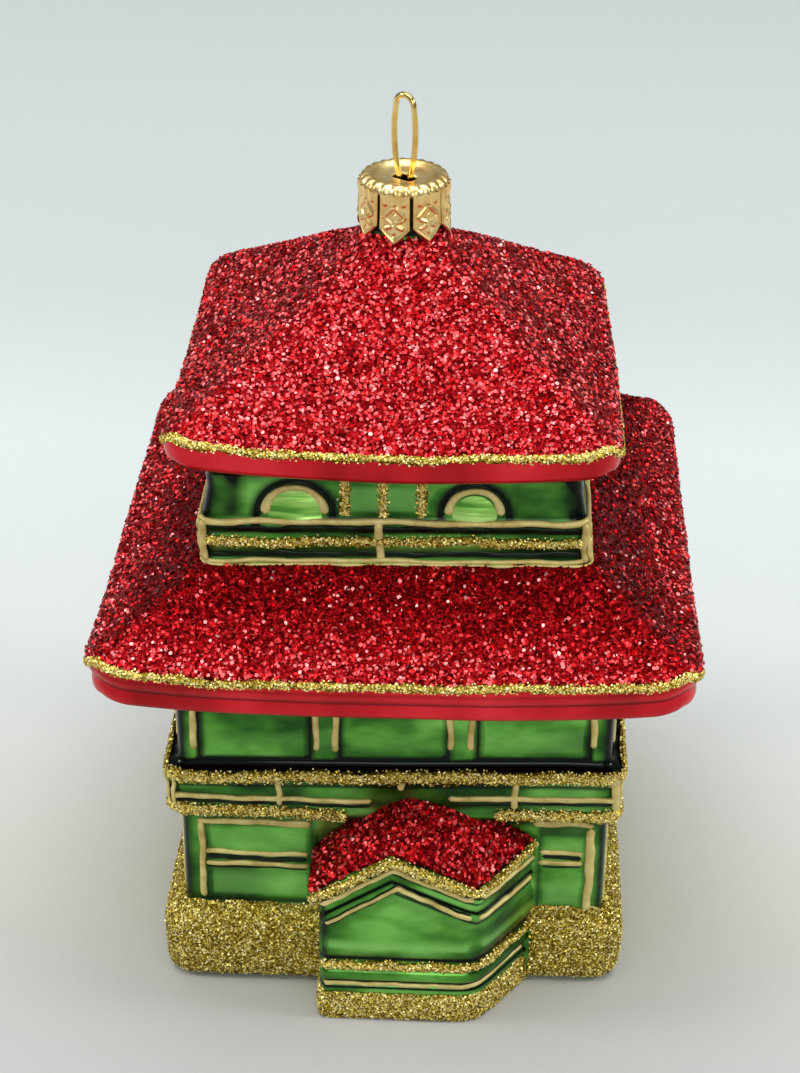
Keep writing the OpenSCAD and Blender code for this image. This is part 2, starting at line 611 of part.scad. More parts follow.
// ---- Enamel ------------------------------------------------------------
rail_low = z_base + 0.41 * ground_h;
rail_high = z_base + 0.54 * ground_h;
frame_top = z_ground - 1.6;
frame_x = ground_a - 3;
door_side = 3.4;
module ground_floor_enamel() {
    color(ENAMEL) {
        on_wall(ground_a, enamel_t) {
            stroke([-frame_x, z_base + 1.2], [-frame_x, frame_top]);
            stroke([-frame_x, frame_top], [-porch_left - 3, frame_top]);
            stroke([frame_x, z_base + 1.2], [frame_x, frame_top]);
            stroke([frame_x, frame_top], [porch_right + porch_flare + 1.6, frame_top]);
            for (z = [rail_low, rail_high]) {
                stroke([-frame_x, z], [-porch_left - 3, z]);
                stroke([porch_right + porch_flare + 1.6, z], [frame_x, z]);
            }
        }
        for (wall = [1:3])
            on_wall(ground_a, enamel_t, wall) {
                for (s = [-1, 1]) stroke([s * frame_x, z_base + 1.2], [s * frame_x, frame_top]);
                for (z = [rail_low, rail_high, frame_top]) stroke([-frame_x, z], [frame_x, z]);
            }
    }
}

balcony_rail = z_ground + 0.47 * balcony_h;
balcony_post_x = 0.51 * balcony_a;
module balcony_enamel() {
    top = z_balcony - 0.19 * balcony_h;
    bottom = z_ground + 0.3 * balcony_h;
    face = balcony_a - lip;
    corner = face - wall_r - 3.2 * lip;
    color(ENAMEL) for (wall = [0:3])
        on_wall(face, enamel_t, wall) {
            if (wall == 0) {
                stroke([-corner, balcony_rail], [-porch_ridge_shift, balcony_rail]);
                stroke([2.6 * porch_ridge_shift, balcony_rail], [corner, balcony_rail]);
            } else {
                stroke([-corner, balcony_rail], [corner, balcony_rail]);
            }
            for (s = [-1, 1]) {
                stroke([s * balcony_post_x, bottom + lip], [s * balcony_post_x, top - 1.6 * lip]);
                stroke([s * corner, bottom + lip], [s * corner, top - 1.6 * lip]);
            }
            stroke([2 * lip, balcony_rail + 4 * lip], [2 * lip, top - 1.6 * lip]);
        }
}

post_outer = 0.915 * first_a;
post_inner = 0.358 * first_a;
post_pair = 3 * enamel_w;
module first_floor_enamel() {
    foot = z_balcony + 4 * lip + enamel_w / 2 + 0.2 * lip;
    head = z_first - soffit - enamel_w / 2 - 0.2 * lip;
    color(ENAMEL) for (wall = [0:3])
        on_wall(first_a, enamel_t, wall)
            for (s = [-1, 1], x = [post_outer, post_inner, post_inner - post_pair])
                stroke([s * x, foot], [s * x, head]);
}

module band_enamel() {
    color(ENAMEL) {
        coat(n_band, n_band + 1, enamel_t, enamel_t);
        coat(n_band + 5, n_band + 6, enamel_t, enamel_t);
        for (wall = [0:3], x = [-band_a + 1.2 + wall_r, -paint_shift, band_a - 1.2 - wall_r])
            rotate([0, 0, 90 * wall]) translate([x, 0, 0]) {
                wall_skin(n_band + 1, n_band + 2, enamel_t, 1.4);
                wall_skin(n_band + 4, n_band + 5, enamel_t, 1.4);
            }
    }
}

window_x = 12.7;
window_r = 3.9;
window_rise = 5.2;
arch_sides = 28;
module window_shape(grow) {
    r = window_r + grow;
    translate([0, z_upper + 0.6]) {
        translate([-r, 0]) square([2 * r, window_rise - window_r]);
        intersection() {
            translate([0, window_rise - window_r]) circle(r = r, $fn = arch_sides);
            translate([-r, 0]) square([2 * r, 2 * r]);
        }
    }
}
// Draws the parts of a skin on the upper walls that lie inside children
module on_upper_walls(t) {
    for (wall = [0:3], s = [-1, 1])
        rotate([0, 0, 90 * wall]) translate([s * window_x - paint_shift, 0, 0]) intersection() {
            wall_skin(n_band + 7, n_upper_eave - 2, t, 4 * window_r);
            translate([0, -upper_a + 1, 0]) rotate([90, 0, 0]) linear_extrude(band_a) children();
        }
}
module window_arches() {
    color(ENAMEL) on_upper_walls(enamel_t) difference() {
        window_shape(0.9);
        window_shape(0);
    }
}
module window_panes() {
    color(PANE) on_upper_walls(0.1) window_shape(0);
}

// The porch front's two gable lines, its level lines, and the same lines
// along the flared wall
gable_l = [-porch_left - porch_overhang, porch_eave_left];
gable_top = [0, porch_ridge_front];
gable_r = [porch_right, porch_eave_right];
function below(p, d) = [p[0], p[1] - d];
// A band under the roof's edge, from d to d + w below it
module gable_band(d, w) {
    polygon([below(gable_l, d), below(gable_top, d), below(gable_r, d),
        below(gable_r, d + w), below(gable_top, d + w * 1.15), below(gable_l, d + w)]);
}
module porch_front_shape() {
    translate([-porch_left + 0.4, 0]) square([porch_left + porch_right - 0.8, porch_ridge_front]);
}
step_line = 10.6;
enamel_step = 7;
// A line on the flared wall from height z, w wide, that rises on its way back;
// below the base's top it ends where the wall runs into the base
module flare_band(z, w, rise = flare_rise) {
    reach = (z > z_base ? flare_len
        : flare_len * (porch_front - base_a) / (porch_front - ground_a)) - 2.4 * lip;
    polygon([[0.5, z], [reach, z + rise], [reach, z + w + rise], [0.5, z + w]]);
}
module porch_glitter_trim() {
    edge = 1.2;
    color(GOLD) {
        on_wall(porch_front, glitter_line_t) {
            intersection() {
                gable_band(0.15, edge);
                porch_front_shape();
            }
            translate([-porch_left + 0.6, step_line - edge / 2])
                square([porch_left + porch_right - 1.2, edge]);
        }
        on_flare(glitter_line_t) {
            flare_band(porch_eave_right - edge - 0.6 * lip, edge, 0);
            flare_band(step_line - edge / 2, edge, 0);
        }
    }
}
module porch_enamel() {
    color(ENAMEL) {
        on_wall(porch_front, enamel_t) {
            intersection() {
                union() {
                    gable_band(2, 0.8);
                    gable_band(4.8, 0.9);
                }
                porch_front_shape();
            }
            translate([-porch_left + 0.6, enamel_step - 0.4])
                square([porch_left + porch_right - 1.2, 0.8]);
        }
        on_flare(enamel_t) {
            flare_band(porch_eave_right - 2.8, 0.8, 0);
            flare_band(porch_eave_right - 5.6, 0.9);
            flare_band(enamel_step - 0.4, 0.8, 0);
        }
    }
}

// ---- The cap -----------------------------------------------------------
cap_in = neck_r + cap_play;
cap_out = cap_in + cap_t;
cap_round = 1.3;
cap_under = z_rim + 0.15;
cap_top = cap_under + cap_t + cap_dish;
cap_foot = z_neck + cap_lift;
module cap_sheet(out, top) {
    // Outline of the cap's outside, or of its inside
    polygon([[0, cap_foot - 1], [out, cap_foot - 1], [out, top - cap_round],
        for (t = [0:15:90]) [out - cap_round + cap_round * cos(t), top - cap_round + cap_round * sin(t)],
        [out - cap_round - 0.7, top - 0.1], [out - cap_round - 1.6, top - cap_dish], [0, top - cap_dish]]);
}
module petal_cut() {
    // The slot between two petals, which widens into their points
    half = cap_out * PI / petals;
    rotate([90, 0, 0]) linear_extrude(cap_out + 2)
        polygon([[-half, cap_foot - 1.5], [half, cap_foot - 1.5], [half, cap_foot],
            [petal_gap / 2, cap_foot + petal_point], [petal_gap / 2, cap_top - cap_round - 1.4],
            [-petal_gap / 2, cap_top - cap_round - 1.4], [-petal_gap / 2, cap_foot + petal_point],
            [-half, cap_foot]]);
}
petal_turn = -8;
module crown_cap() {
    color(BRASS) difference() {
        rotate_extrude($fn = fine) cap_sheet(cap_out, cap_top);
        rotate_extrude($fn = fine) cap_sheet(cap_in, cap_top - cap_t);
        for (k = [0:petals - 1])
            rotate([0, 0, petal_turn + (k + 0.5) * 360 / petals]) petal_cut();
        rotate([0, 0, loop_turn]) translate([0, 0, cap_under - 1]) linear_extrude(cap_t + 3) {
            square([slot_len - slot_w, slot_w], center = true);
            for (s = [-1, 1]) translate([s * (slot_len - slot_w) / 2, 0]) circle(r = slot_w / 2);
        }
    }
}

// ---- The hanger --------------------------------------------------------
// The loop is three arcs along the middle of the wire: a small one over the
// top and a long flat one down each side, which lead into the cap's slot.
// Inside the neck the two legs spring apart.
wire_r = wire_d / 2;
loop_a = loop_w / 2 - wire_r;
loop_top = cap_top + loop_h - wire_r;
leg_x = leg_gap / 2 + wire_r;
loop_foot = cap_top - cap_dish - 0.2;
loop_wide = mix(loop_foot, loop_top, 0.58);
side_drop = loop_a - leg_x;
side_r = (pow(loop_wide - loop_foot, 2) + pow(side_drop, 2)) / (2 * side_drop);
join_turn = acos((side_r - loop_a) / (side_r - loop_top_r));
side_z = loop_top - loop_top_r - (side_r - loop_top_r) * sin(join_turn);
foot_turn = asin((side_z - loop_foot) / side_r);
foot_x = loop_a - side_r * (1 - cos(foot_turn));
// The slot in the cap leaves the wire this much room all round
slot_play = 0.35;
slot_len = 2 * (foot_x + wire_r + slot_play);
slot_w = wire_d + 2 * slot_play;
leg_tip = [neck_r - glass_t - wire_r - 0.4, z_neck + 2];
// Right half of the wire's middle line, from the tip of its leg to the top
half_line = concat(
    [leg_tip, mix(leg_tip, [leg_x, cap_under - 1.6], 0.5), [leg_x + 0.1, cap_under - 1.6]],
    [for (i = [0:6]) let (t = -foot_turn + (foot_turn + join_turn) * i / 6)
        [loop_a - side_r + side_r * cos(t), side_z + side_r * sin(t)]],
    [for (i = [1:4]) let (t = join_turn + (90 - join_turn) * i / 4)
        [loop_top_r * cos(t), loop_top - loop_top_r + loop_top_r * sin(t)]]);
wire_line = concat(half_line,
    [for (i = [len(half_line) - 2:-1:0]) [-half_line[i][0], half_line[i][1]]]);
wire_sides = 10;
function wire_ring(i) =
    let (
        p = wire_line[max(i - 1, 0)],
        q = wire_line[min(i + 1, len(wire_line) - 1)],
        d = (q - p) / norm(q - p),
        m = wire_line[i]
    )
    [for (k = [0:wire_sides - 1]) let (t = 360 * k / wire_sides, u = wire_r * cos(t))
        [m[0] + d[1] * u, wire_r * sin(t), m[1] - d[0] * u]];
module hanger_wire() {
    n = len(wire_line);
    last = (n - 1) * wire_sides;
    ends = [for (k = [1:wire_sides - 2])
        each [[0, k, k + 1], [last, last + k + 1, last + k]]];
    color(BRASS) rotate([0, 0, loop_turn])
        polyhedron(points = [for (i = [0:n - 1]) each wire_ring(i)],
            faces = concat(ends, [for (i = [0:n - 2])
                each wall_faces(i * wire_sides, (i + 1) * wire_sides, wire_sides, true)]),
            convexity = 6);
}

glass_shell();
base_glitter();
porch_base_glitter();
balcony_lower_glitter_line();
balcony_upper_glitter_line();
lower_eave_lacquer();
lower_eave_glitter_line();
lower_roof_glitter();
band_glitter_line();
upper_eave_lacquer();
upper_eave_glitter_line();
upper_roof_glitter();
porch_roof_glitter();
porch_glitter_trim();
upper_wall_glitter_strips();
ground_floor_enamel();
balcony_enamel();
first_floor_enamel();
band_enamel();
window_arches();
window_panes();
porch_enamel();
crown_cap();
hanger_wire();
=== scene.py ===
"""A blown-glass pagoda tree ornament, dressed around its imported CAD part.
Lengths are in millimetres here and become metres when a piece is made."""
import math

import bpy
import numpy as np
from mathutils import Matrix, Vector


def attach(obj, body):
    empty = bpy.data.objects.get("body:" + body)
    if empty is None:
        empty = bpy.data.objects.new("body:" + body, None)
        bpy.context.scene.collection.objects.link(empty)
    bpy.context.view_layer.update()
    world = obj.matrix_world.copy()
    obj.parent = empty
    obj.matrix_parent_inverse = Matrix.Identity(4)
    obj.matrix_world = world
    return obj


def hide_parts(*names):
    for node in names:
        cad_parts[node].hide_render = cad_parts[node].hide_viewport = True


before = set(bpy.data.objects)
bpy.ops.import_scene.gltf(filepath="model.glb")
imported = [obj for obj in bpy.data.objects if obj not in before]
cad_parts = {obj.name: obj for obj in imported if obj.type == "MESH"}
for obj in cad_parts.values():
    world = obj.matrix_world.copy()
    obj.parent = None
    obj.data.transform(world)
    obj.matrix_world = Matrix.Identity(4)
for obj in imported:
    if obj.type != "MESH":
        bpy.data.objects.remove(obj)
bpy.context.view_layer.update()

MM = 0.001
GLASS, CAP = "ornament", "cap_and_hanger"
rng = np.random.default_rng(20261122)


def placed(name, data):
    obj = bpy.data.objects.new(name, data)
    bpy.context.collection.objects.link(obj)
    return obj


# ---------------------------------------------------------------- camera
camera = placed("camera", bpy.data.cameras.new("camera"))
bpy.context.scene.camera = camera
camera.data.sensor_fit = "VERTICAL"
camera.data.sensor_height = 36
camera.data.lens = 75.463
camera.data.clip_start = 0.01
camera.matrix_world = (Matrix.Translation((0.013136, -0.304227, 0.24399))
                       @ Matrix.Rotation(math.radians(2.5197), 4, "Z")
                       @ Matrix.Rotation(math.radians(90 - 30.978), 4, "X")
                       @ Matrix.Rotation(math.radians(0.4096), 4, "Z"))


# ---------------------------------------------------------------- materials
class Nodes:
    """A small helper to wire one material. Its keywords are inputs of the surface, such as Coat_Weight."""

    def __init__(self, name, **look):
        self.mat = bpy.data.materials.new(name)
        self.mat.use_nodes = True
        self.tree = self.mat.node_tree
        self.tree.nodes.clear()
        self.bsdf = self.add("ShaderNodeBsdfPrincipled", {key.replace("_", " "): look[key] for key in look})
        self.add("ShaderNodeOutputMaterial", {0: self.bsdf.outputs[0]})

    def add(self, kind, inputs=None, **props):
        """A new node with its properties, and its inputs set or linked."""
        node = self.tree.nodes.new(kind)
        for key, value in props.items():
            setattr(node, key, value)
        for place, value in (inputs or {}).items():
            if isinstance(value, bpy.types.NodeSocket):
                self.tree.links.new(value, node.inputs[place])
            else:
                node.inputs[place].default_value = value
        return node

    def coords(self):
        return self.add("ShaderNodeTexCoord").outputs["Object"]

    def noise(self, scale, detail=2.0, rough=0.5, stretch=None):
        where = self.coords()
        if stretch:
            where = self.add("ShaderNodeMapping", {"Vector": where, "Scale": stretch}).outputs[0]
        inputs = {"Scale": scale, "Detail": detail, "Roughness": rough, "Vector": where}
        return self.add("ShaderNodeTexNoise", inputs).outputs[0]

    def cells(self, scale):
        return self.add("ShaderNodeTexVoronoi", {"Scale": scale, "Vector": self.coords()})

    def attribute(self, name):
        return self.add("ShaderNodeAttribute", attribute_name=name).outputs["Fac"]

    def ramp(self, factor, stops):
        node = self.add("ShaderNodeValToRGB", {0: factor})
        band = node.color_ramp.elements
        while len(band) < len(stops):
            band.new(0.5)
        for element, (place, colour) in zip(band, stops):
            element.position = place
            element.color = (*colour, 1)
        return node.outputs[0]

    def mix(self, factor, a, b):
        """From socket a to colour b."""
        return self.add("ShaderNodeMix", {0: factor, 6: a, 7: (*b, 1)}, data_type="RGBA").outputs[2]

    def math(self, kind, a, b, clamp=False):
        return self.add("ShaderNodeMath", {0: a, 1: b}, operation=kind, use_clamp=clamp).outputs[0]

    def colour(self, socket):
        self.tree.links.new(socket, self.bsdf.inputs["Base Color"])

    def bump(self, height, strength, distance):
        node = self.add("ShaderNodeBump", {"Strength": strength, "Distance": distance, "Height": height})
        self.tree.links.new(node.outputs[0], self.bsdf.inputs["Normal"])


def green_glass():
    """Silvered glass under transparent green lacquer, dark where the lacquer has gathered in hollows and
    where shade is painted, and painted lighter, as painted light, where its attribute is below 0.
    """
    n = Nodes("green_lacquer_glass", Metallic=0.85, Roughness=0.3, Specular_IOR_Level=0.2,
              Coat_Weight=0.22, Coat_Roughness=0.1)
    green = n.ramp(n.noise(75, 3, 0.5, (1, 1, 1.7)), [
        (0.36, (0.014, 0.09, 0.006)), (0.45, (0.05, 0.22, 0.02)), (0.53, (0.11, 0.39, 0.045)),
        (0.64, (0.22, 0.62, 0.11))])
    # Where the attribute is below 0 the green is painted lighter: painted light.
    painted_light = n.math("MULTIPLY", n.attribute("pool"), -2.5, True)
    # Where it is above 0 the green is painted darker: pooled lacquer and painted shade.
    pool = n.math("ADD", n.attribute("pool"), n.math("MULTIPLY", n.noise(260, 2), 0.12))
    depth = n.ramp(pool, [(0.12, (0, 0, 0)), (0.85, (1, 1, 1))])
    n.colour(n.mix(depth, n.mix(painted_light, green, (0.3, 0.74, 0.17)), (0.0008, 0.004, 0.001)))
    n.bump(n.noise(130, 2), 0.12, 0.0006)
    return n.mat


def red_lacquer():
    n = Nodes("satin_red_lacquer", Metallic=0.75, Roughness=0.36, Specular_IOR_Level=0.2,
              Coat_Weight=0.12, Coat_Roughness=0.18)
    red = n.ramp(n.noise(60, 3, 0.55, (1, 1, 0.5)), [
        (0.3, (0.42, 0.007, 0.011)), (0.5, (0.72, 0.017, 0.026)), (0.72, (0.95, 0.04, 0.055))])
    depth = n.ramp(n.attribute("pool"), [(0.1, (0, 0, 0)), (1.0, (1, 1, 1))])
    n.colour(n.mix(depth, red, (0.06, 0.001, 0.002)))
    n.bump(n.noise(150, 2), 0.1, 0.0005)
    return n.mat


def clouded(name, cloud, stops, grain, relief, **look):
    """A material whose colour clouds along stops and whose surface has a fine relief."""
    n = Nodes(name, **look)
    n.colour(n.ramp(n.noise(*cloud), stops))
    n.bump(n.noise(*grain), *relief)
    return n.mat


def brass(name, dark, mid, pale, rough):
    return clouded(name, (300, 3), [(0.3, dark), (0.5, mid), (0.72, pale)], (700, 2), (0.06, 0.0002),
                   Metallic=1.0, Roughness=rough)


def flake_material(name, stops, metallic, rough):
    n = Nodes(name, Metallic=metallic, Roughness=rough, Specular_IOR_Level=0.1)
    n.colour(n.ramp(n.attribute("shade"), stops))
    return n.mat


def glue_material(name, stops, scale):
    """The glued bed under the flakes: a coarse mosaic of their colours."""
    n = Nodes(name, Metallic=0.9, Roughness=0.45, Specular_IOR_Level=0.1)
    cells = n.cells(scale)
    n.colour(n.ramp(cells.outputs["Color"], stops))
    n.bump(cells.outputs["Distance"], 0.6, 0.0004)
    return n.mat


PANE_STREAK = (260, 2, 0.5, (0.35, 0.35, 3))
MAT = {
    "glass": green_glass(),
    "red": red_lacquer(),
    # Dark lacquer pooled in recesses; round the window arches it is also painted shade.
    "pooled": clouded("pooled_lacquer_and_painted_shade", (400, 2),
                      [(0.35, (0.0008, 0.003, 0.0008)), (0.75, (0.005, 0.025, 0.004))],
                      (500, 2), (0.1, 0.0003), Metallic=0.3, Roughness=0.3, Specular_IOR_Level=0.15,
                      Coat_Weight=0.1, Coat_Roughness=0.1),
    "enamel": clouded("cream_gold_enamel", (350, 3), [(0.3, (0.49, 0.38, 0.11)), (0.5, (0.67, 0.55, 0.19)),
                                                      (0.72, (0.8, 0.71, 0.29))],
                      (900, 2), (0.15, 0.0002), Metallic=0.2, Roughness=0.45, Specular_IOR_Level=0.3),
    "pane": clouded("yellow_green_pane", PANE_STREAK, [(0.32, (0.1, 0.36, 0.04)), (0.45, (0.3, 0.66, 0.11)),
                                                       (0.62, (0.58, 0.92, 0.26))],
                    PANE_STREAK, (0.3, 0.0005), Metallic=0.6, Roughness=0.32, Specular_IOR_Level=0.3,
                    Coat_Weight=0.2, Coat_Roughness=0.15),
    "ruby": flake_material("ruby_flakes", [
        (0.0, (0.07, 0.0, 0.0)), (0.16, (0.42, 0.001, 0.002)), (0.36, (0.88, 0.035, 0.04)),
        (0.62, (1.0, 0.13, 0.135)), (0.86, (1.0, 0.29, 0.29)), (1.0, (1.0, 0.42, 0.4))], 0.85, 0.42),
    "gold": flake_material("gold_flakes", [
        (0.0, (0.14, 0.08, 0.0)), (0.22, (0.54, 0.38, 0.02)), (0.42, (1.0, 0.8, 0.19)),
        (0.68, (1.0, 0.91, 0.38)), (1.0, (1.0, 0.94, 0.54))], 0.6, 0.38),
    "ruby_bed": glue_material("ruby_glitter_bed", [
        (0.1, (0.03, 0, 0)), (0.5, (0.22, 0.002, 0.004)), (0.9, (0.5, 0.012, 0.016))], 2600),
    "gold_bed": glue_material("gold_glitter_bed", [
        (0.1, (0.08, 0.045, 0.0)), (0.5, (0.32, 0.22, 0.02)), (0.9, (0.65, 0.5, 0.1))], 3400),
    "cap": brass("stamped_brass", (0.72, 0.46, 0.15), (0.95, 0.67, 0.26), (1.0, 0.82, 0.4), 0.33),
    "wire": brass("bright_wire", (0.6, 0.38, 0.09), (0.82, 0.56, 0.17), (0.95, 0.74, 0.3), 0.18),
}


# ---------------------------------------------------------------- pieces
def plain(faces):
    """Faces as lists of whole numbers."""
    return faces.tolist() if isinstance(faces, np.ndarray) else faces


def piece(name, verts, faces, material, slot, nodes=(), body=GLASS, smooth=True, shade=None, pool=None):
    """Makes one mesh piece from millimetre points and attaches it to its body."""
    mesh = bpy.data.meshes.new(name)
    mesh.from_pydata((np.asarray(verts) * MM).tolist(), [], plain(faces))
    mesh.polygons.foreach_set("use_smooth", [smooth] * len(mesh.polygons))
    for label, values in (("shade", shade), ("pool", pool)):
        if values is not None:
            layer = mesh.attributes.new(label, "FLOAT", "POINT")
            layer.data.foreach_set("value", np.asarray(values, dtype=np.float32))
    mesh.materials.append(MAT[material])
    mesh.update()
    obj = placed(name, mesh)
    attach(obj, body)
    if nodes:
        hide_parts(*nodes)


def grid_faces(rows, cols, closed=False):
    """Quads of a grid whose rows run up the surface and whose columns run round it."""
    wide = cols if closed else cols - 1
    i, j = np.meshgrid(np.arange(rows - 1), np.arange(wide), indexing="ij")
    k = (j + 1) % cols
    return np.stack([i * cols + j, i * cols + k, (i + 1) * cols + k, (i + 1) * cols + j], -1).reshape(-1, 4)


def slab(top, low, closed=False, last=True, ends=True):
    """Points and faces of a thin slab between two grids of points, and the faces of its top alone.
    Its rims are the first row, the last row and the two ends of the rows."""
    rows, cols, _ = top.shape
    quads, shift = grid_faces(rows, cols, closed), rows * cols
    i, j = np.arange(rows) * cols, np.arange(cols + closed) % cols
    rims = [j] + [i[-1] + j[::-1]] * last + [i + cols - 1, i[::-1]] * (ends and not closed)
    walls = [np.stack([rim[1:], rim[:-1], rim[:-1] + shift, rim[1:] + shift], -1) for rim in rims]
    faces = np.concatenate([quads, quads[:, ::-1] + shift, *walls])
    return np.concatenate([top, low]).reshape(-1, 3), faces, quads


def unit(v):
    return v / np.maximum(np.linalg.norm(v, axis=-1, keepdims=True), 1e-9)


def fade(x):
    """x held between 0 and 1."""
    return np.clip(x, 0, 1)


def hump(x, at, soft, power=2):
    """1 where x is at, and down to 0 about soft away from it."""
    return np.exp(-((x - at) / soft) ** power)


def strongest(x, humps):
    """The strongest of several humps (at, soft, strength) at x."""
    return np.max([strength * hump(x, at, soft) for at, soft, strength in humps], axis=0)


def ripple(p, scale=1.0, seed=0.0):
    """A smooth wobble of about -1 to 1 over space, the same every run."""
    x, y, z = (p[..., i] * scale + seed * (i + 1.7) for i in range(3))
    return (np.sin(0.9 * x + 1.3 * np.sin(0.5 * z)) + np.sin(0.8 * y - 0.7 * z + 1.1)
            + np.sin(1.1 * z + 0.6 * x + 2.3) + np.sin(1.9 * x - 1.4 * y + 0.5)) / 4


# ---------------------------------------------------------------- the loft
# Heights at which pieces on the glass begin or end, from the foot up
BASE_RIM, WALL_FOOT, LEDGE_LOW, LEDGE_TOP = 12.2, 13.2, 32, 40.3
EAVE1, GOLD1, RED1_TOP, SLOPE1, SLOPE1_TOP = 55.8, 61.5, 62.8, 63.3, 72.4
BAND_FOOT, BAND_LOW, BAND_MID, BAND_TOP = 72.9, 73.8, 76.35, 79.9
EAVE2, RED2_TOP, SLOPE2, NECK, NECK_BARE = 88, 92.8, 93.2, 113.2, 114.6


def slope(a, b, hip, n=10, bend=0.2):
    """Stations of a roof from row a up to row b, whose corners sharpen into hips just above the eave."""
    out = []
    for i in range(n + 1):
        t = i / n
        row = [a[k] + (b[k] - a[k]) * t for k in range(4)]
        row[0] = a[0] + (b[0] - a[0]) * (t * (1 - bend) + bend * t * t)
        row[2] = a[2] if i == 0 else hip + (b[2] - hip) * max(0, (t - 0.75) * 4)
        out.append(tuple(row))
    return out


# Height, half width, corner radius and corner lift of the glass, from foot to neck
KEYS = [
    (0, 0.6, 0.5, 0), (0, 34.4, 3, 0), (0.5, 35, 3.4, 0), (2.2, 35.4, 4, 0), (5.1, 35.6, 4, 0),
    (9, 35.6, 4, 0), (11.1, 35.3, 4, 0), (BASE_RIM, 34.5, 3.4, 0), (12.8, 33.1, 2.4, 0),
    (WALL_FOOT, 32.6, 1.8, 0),
    (30.6, 32.6, 1.8, 0), (31.3, 34.1, 2.6, 0), (LEDGE_LOW, 34.4, 2.8, 0), (33.5, 34.1, 2.8, 0),
    (39.2, 34.1, 2.8, 0), (LEDGE_TOP, 34.6, 2.8, 0), (41.2, 34.3, 2.6, 0), (42, 32.9, 1.8, 0),
    (43.2, 32.7, 1.8, 0), (54.3, 32.7, 1.8, 0),
    (EAVE1, 34.2, 3.3, 0), (56.3, 40.2, 5, 1.54), (56.8, 43.2, 5.8, 1.98), (58.1, 43.5, 6.2, 2.2),
    (59.5, 43.2, 6.1, 2.2), (60.2, 43.8, 6.5, 2.2), (GOLD1, 44, 6.5, 2.2), (RED1_TOP, 43.8, 6.4, 2.2),
    *slope((SLOPE1, 42.9, 5.6, 2.1), (SLOPE1_TOP, 29, 2.2, 0), 2.2),
    (BAND_FOOT, 28.1, 1.8, 0), (BAND_LOW, 28.1, 1.8, 0), (74.6, 27.75, 1.8, 0), (BAND_MID, 28, 1.8, 0),
    (78.2, 27.75, 1.8, 0), (79, 28.1, 1.8, 0), (BAND_TOP, 28, 1.8, 0), (80.4, 27.6, 1.8, 0),
    (81.9, 27.3, 1.8, 0), (84.3, 26.9, 1.8, 0), (87.3, 27.1, 2, 0), (EAVE2, 28.9, 3, 0.8),
    (88.5, 31.2, 4.6, 1.7), (89.2, 32.2, 5.1, 1.9), (91.6, 32.5, 5.5, 1.9), (RED2_TOP, 32.3, 5.4, 1.9),
    *slope((SLOPE2, 31.5, 5, 1.7), (110.9, 7.6, 5.8, 0), 2.6, bend=0.06),
    (112, 6.9, 6.6, 0), (NECK, 6.3, 6.2, 0), (NECK_BARE, 5.8, 5.8, 0), (121.2, 5.8, 5.8, 0),
    (121.2, 5, 5, 0), (118, 4.9, 4.9, 0), (118, 0.5, 0.5, 0)]
NOTCH_DEEP = 2.0


def between(z, *heights):
    """0 below the first of four heights, 1 from the second to the third, and 0 again over the fourth."""
    return np.interp(z, heights, (0, 1, 1, 0))


def warp(p):
    """The small leans of a hand-blown body: what was meant square comes out slightly off."""
    x, y, z = p[..., 0], p[..., 1], p[..., 2]
    lean = 0.5 * fade((76 - z) / 4)
    corner = fade(x / 30) * fade(y / 30) * fade((z - 86) / 3)
    squeeze = 0.6 * fade(x / 30) * between(z, 85, 88, 95, 112)
    ledge = np.interp(x, (-33, 0, 25), (-1.8, -0.9, 0.2)) * between(z, 35.8, 38.6, 47, 54)
    bead = 1.1 * fade((x - 5) / 20) * between(z, 29.6, 31, 34, 37)
    storey = (0.4 + 0.8 * x / 28) * np.interp(z, (66, 72.5, 82, 91), (0, 1, 0.75, 0))
    droop = 1.3 * (fade(y / 38) * fade(abs(x) / 38)) ** 2
    eave = between(z, 54, 56, 63, 69) * (0.55 * x / 44 * fade(-y / 30) - droop)
    near = fade((x - 4) / 8) * (y < -30) * fade((13.4 - z) / 1.2)
    notch = NOTCH_DEEP * near * near * (3 - 2 * near)      # the base's front stands back right of the porch
    return np.stack([x + lean - squeeze - 1.3 * corner, y + notch, z + ledge + bead + storey + eave], -1)


